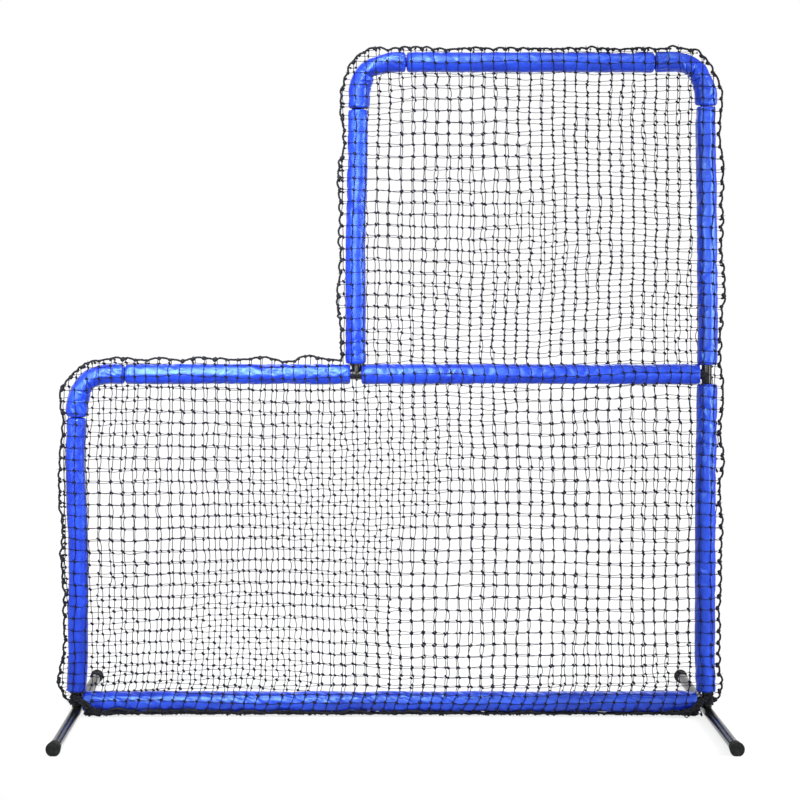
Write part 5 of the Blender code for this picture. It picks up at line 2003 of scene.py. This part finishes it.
@dataclass(frozen=True)
class Studio:
    """The plain pale floor, the even soft light and the camera of the photograph."""

    camera_place: Triple = (-0.149, -7.6, 1.743)
    lens: float = 91.2
    shift: Pair = (0.06, -0.186)
    ambient: float = 0.3
    sky_colour: Triple = (0.97, 0.98, 1.0)
    floor_colour: Triple = (0.86, 0.87, 0.85)
    floor_reach: float = 60.0
    floor_glow: float = 1.04
    floor_fade: Pair = (1.3, 3.4)
    white_share: float = 0.74
    lamps: tuple[SoftBox, ...] = (
        SoftBox("box_left", (-1.9, -2.8, 2.05), (-0.5, 0.0, 1.75), (3.2, 1.8), 20.0, 50.0),
        SoftBox("box_right", (3.2, -1.2, 1.8), (1.18, 0.0, 1.6), (1.3, 2.2), 115.0),
        SoftBox("box_top", (0.4, -1.3, 4.3), (0.4, 0.0, 2.3), (2.6, 0.9), 44.0),
        SoftBox("box_low", (-0.8, -2.0, 3.0), (-0.75, 0.0, 1.4), (1.9, 2.2), 44.0, 60.0),
        SoftBox("box_front", (0.9, -6.5, 2.0), (0.2, 0.0, 1.2), (3.4, 1.6), 90.0),
        SoftBox("box_back", (0.5, 3.6, 2.8), (0.0, 0.0, 1.2), (4.0, 2.4), 90.0),
    )

    def build(self) -> None:
        """Make the camera, lamps, floor and world."""
        scene = bpy.context.scene
        scene.view_settings.view_transform = "Standard"
        data = bpy.data.cameras.new("view")
        data.lens, data.sensor_width = self.lens, 36.0
        data.shift_x, data.shift_y = self.shift
        data.clip_end = 200.0
        camera = bpy.data.objects.new("view", data)
        camera.location = self.camera_place
        camera.rotation_euler = (math.pi / 2, 0.0, 0.0)
        scene.collection.objects.link(camera)
        scene.camera = camera
        for lamp in self.lamps:
            self.hang(lamp)
        self.lay_floor()
        self.light_world()

    def hang(self, lamp: SoftBox) -> None:
        """Add a lamp that faces its target."""
        data = bpy.data.lights.new(lamp.name, "AREA")
        data.shape, data.size, data.size_y = "RECTANGLE", *lamp.size
        data.energy, data.spread = lamp.power, math.radians(lamp.spread)
        obj = bpy.data.objects.new(lamp.name, data)
        obj.visible_camera = False
        place, target = np.array(lamp.place), np.array(lamp.target)
        back = unit(place - target)
        side = unit(np.cross(UP, back))
        turn = np.stack([side, np.cross(back, side), back], -1)
        matrix = np.eye(4)
        matrix[:3, :3], matrix[:3, 3] = turn, place
        obj.matrix_world = Matrix(matrix.tolist())
        bpy.context.scene.collection.objects.link(obj)

    def seen_rays(self, kit: NodeKit) -> Socket:
        """Add the test for camera, glossy and transmission rays and return its value."""
        path = kit.add("ShaderNodeLightPath", {})
        total = path.outputs["Is Camera Ray"]
        for ray in ("Is Glossy Ray", "Is Transmission Ray"):
            total = kit.math("MAXIMUM", total, path.outputs[ray])
        return total

    def lay_floor(self) -> None:
        """Lay the floor: pale and matte, mostly plain white to the camera so that it fades out."""
        corners = np.array([[-1, -1, 0], [1, -1, 0], [1, 1, 0], [-1, 1, 0]], float)
        recipe = Recipe("pale_floor")
        recipe.set(Base_Color=self.floor_colour, Roughness=0.9)
        white = recipe.add("ShaderNodeEmission", {"Strength": self.floor_glow})
        place = recipe.place.outputs["Object"]
        far = recipe.add("ShaderNodeVectorMath", {0: place}, operation="LENGTH")
        fade = recipe.ramp(far.outputs["Value"], *self.floor_fade, self.white_share, 1.0)
        share = recipe.math("MULTIPLY", self.seen_rays(recipe), fade)
        recipe.shown(share, recipe.shader.outputs[0], white.outputs[0], "Material Output")
        floor = Shell(self.floor_reach * corners, [np.array([[0, 1, 2, 3]])])
        floor.put("floor", recipe.material)

    def light_world(self) -> None:
        """Light the world evenly, and show it plain white where it is seen or reflected."""
        world = bpy.data.worlds.new("white_room")
        world.use_nodes = True
        bpy.context.scene.world = world
        kit = NodeKit(world.node_tree)
        plain = kit.tree.nodes["Background"]
        plain.inputs["Color"].default_value = (*self.sky_colour, 1.0)
        plain.inputs["Strength"].default_value = self.ambient
        white = kit.add("ShaderNodeBackground", {"Color": (1.0, 1.0, 1.0, 1.0)})
        kit.shown(self.seen_rays(kit), plain.outputs[0], white.outputs[0], "World Output")


def main() -> None:
    """Load the frame and build every piece round it."""
    logging.basicConfig(level=logging.INFO, format="%(message)s")
    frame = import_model()
    finishes = Finishes.mixed()
    outline = Outline(Layout())
    Studio().build()
    Padding(outline, finishes).build()
    front = NetLayer(outline, Layer.FRONT, seed=21, shift=(0.0, 0.0105), rub=0.016)
    rear = NetLayer(outline, Layer.REAR, seed=61, shift=(0.011, 0.024), roam=0.006)
    for layer in (front, rear):
        layer.build(finishes)
    BorderRope(outline, front.crossings, rear.crossings).build(finishes)
    GatheredHem(outline).build(finishes)
    BareTubes(outline.layout).build(finishes)
    CrossLeg(outline.layout, outline.layout.left, Body.LEFT_LEG, "left_leg").build(finishes)
    CrossLeg(outline.layout, outline.layout.right, Body.RIGHT_LEG, "right_leg").build(finishes)
    finishes.dress_nodes(frame["nodes"])


if __name__ == "__main__":
    main()
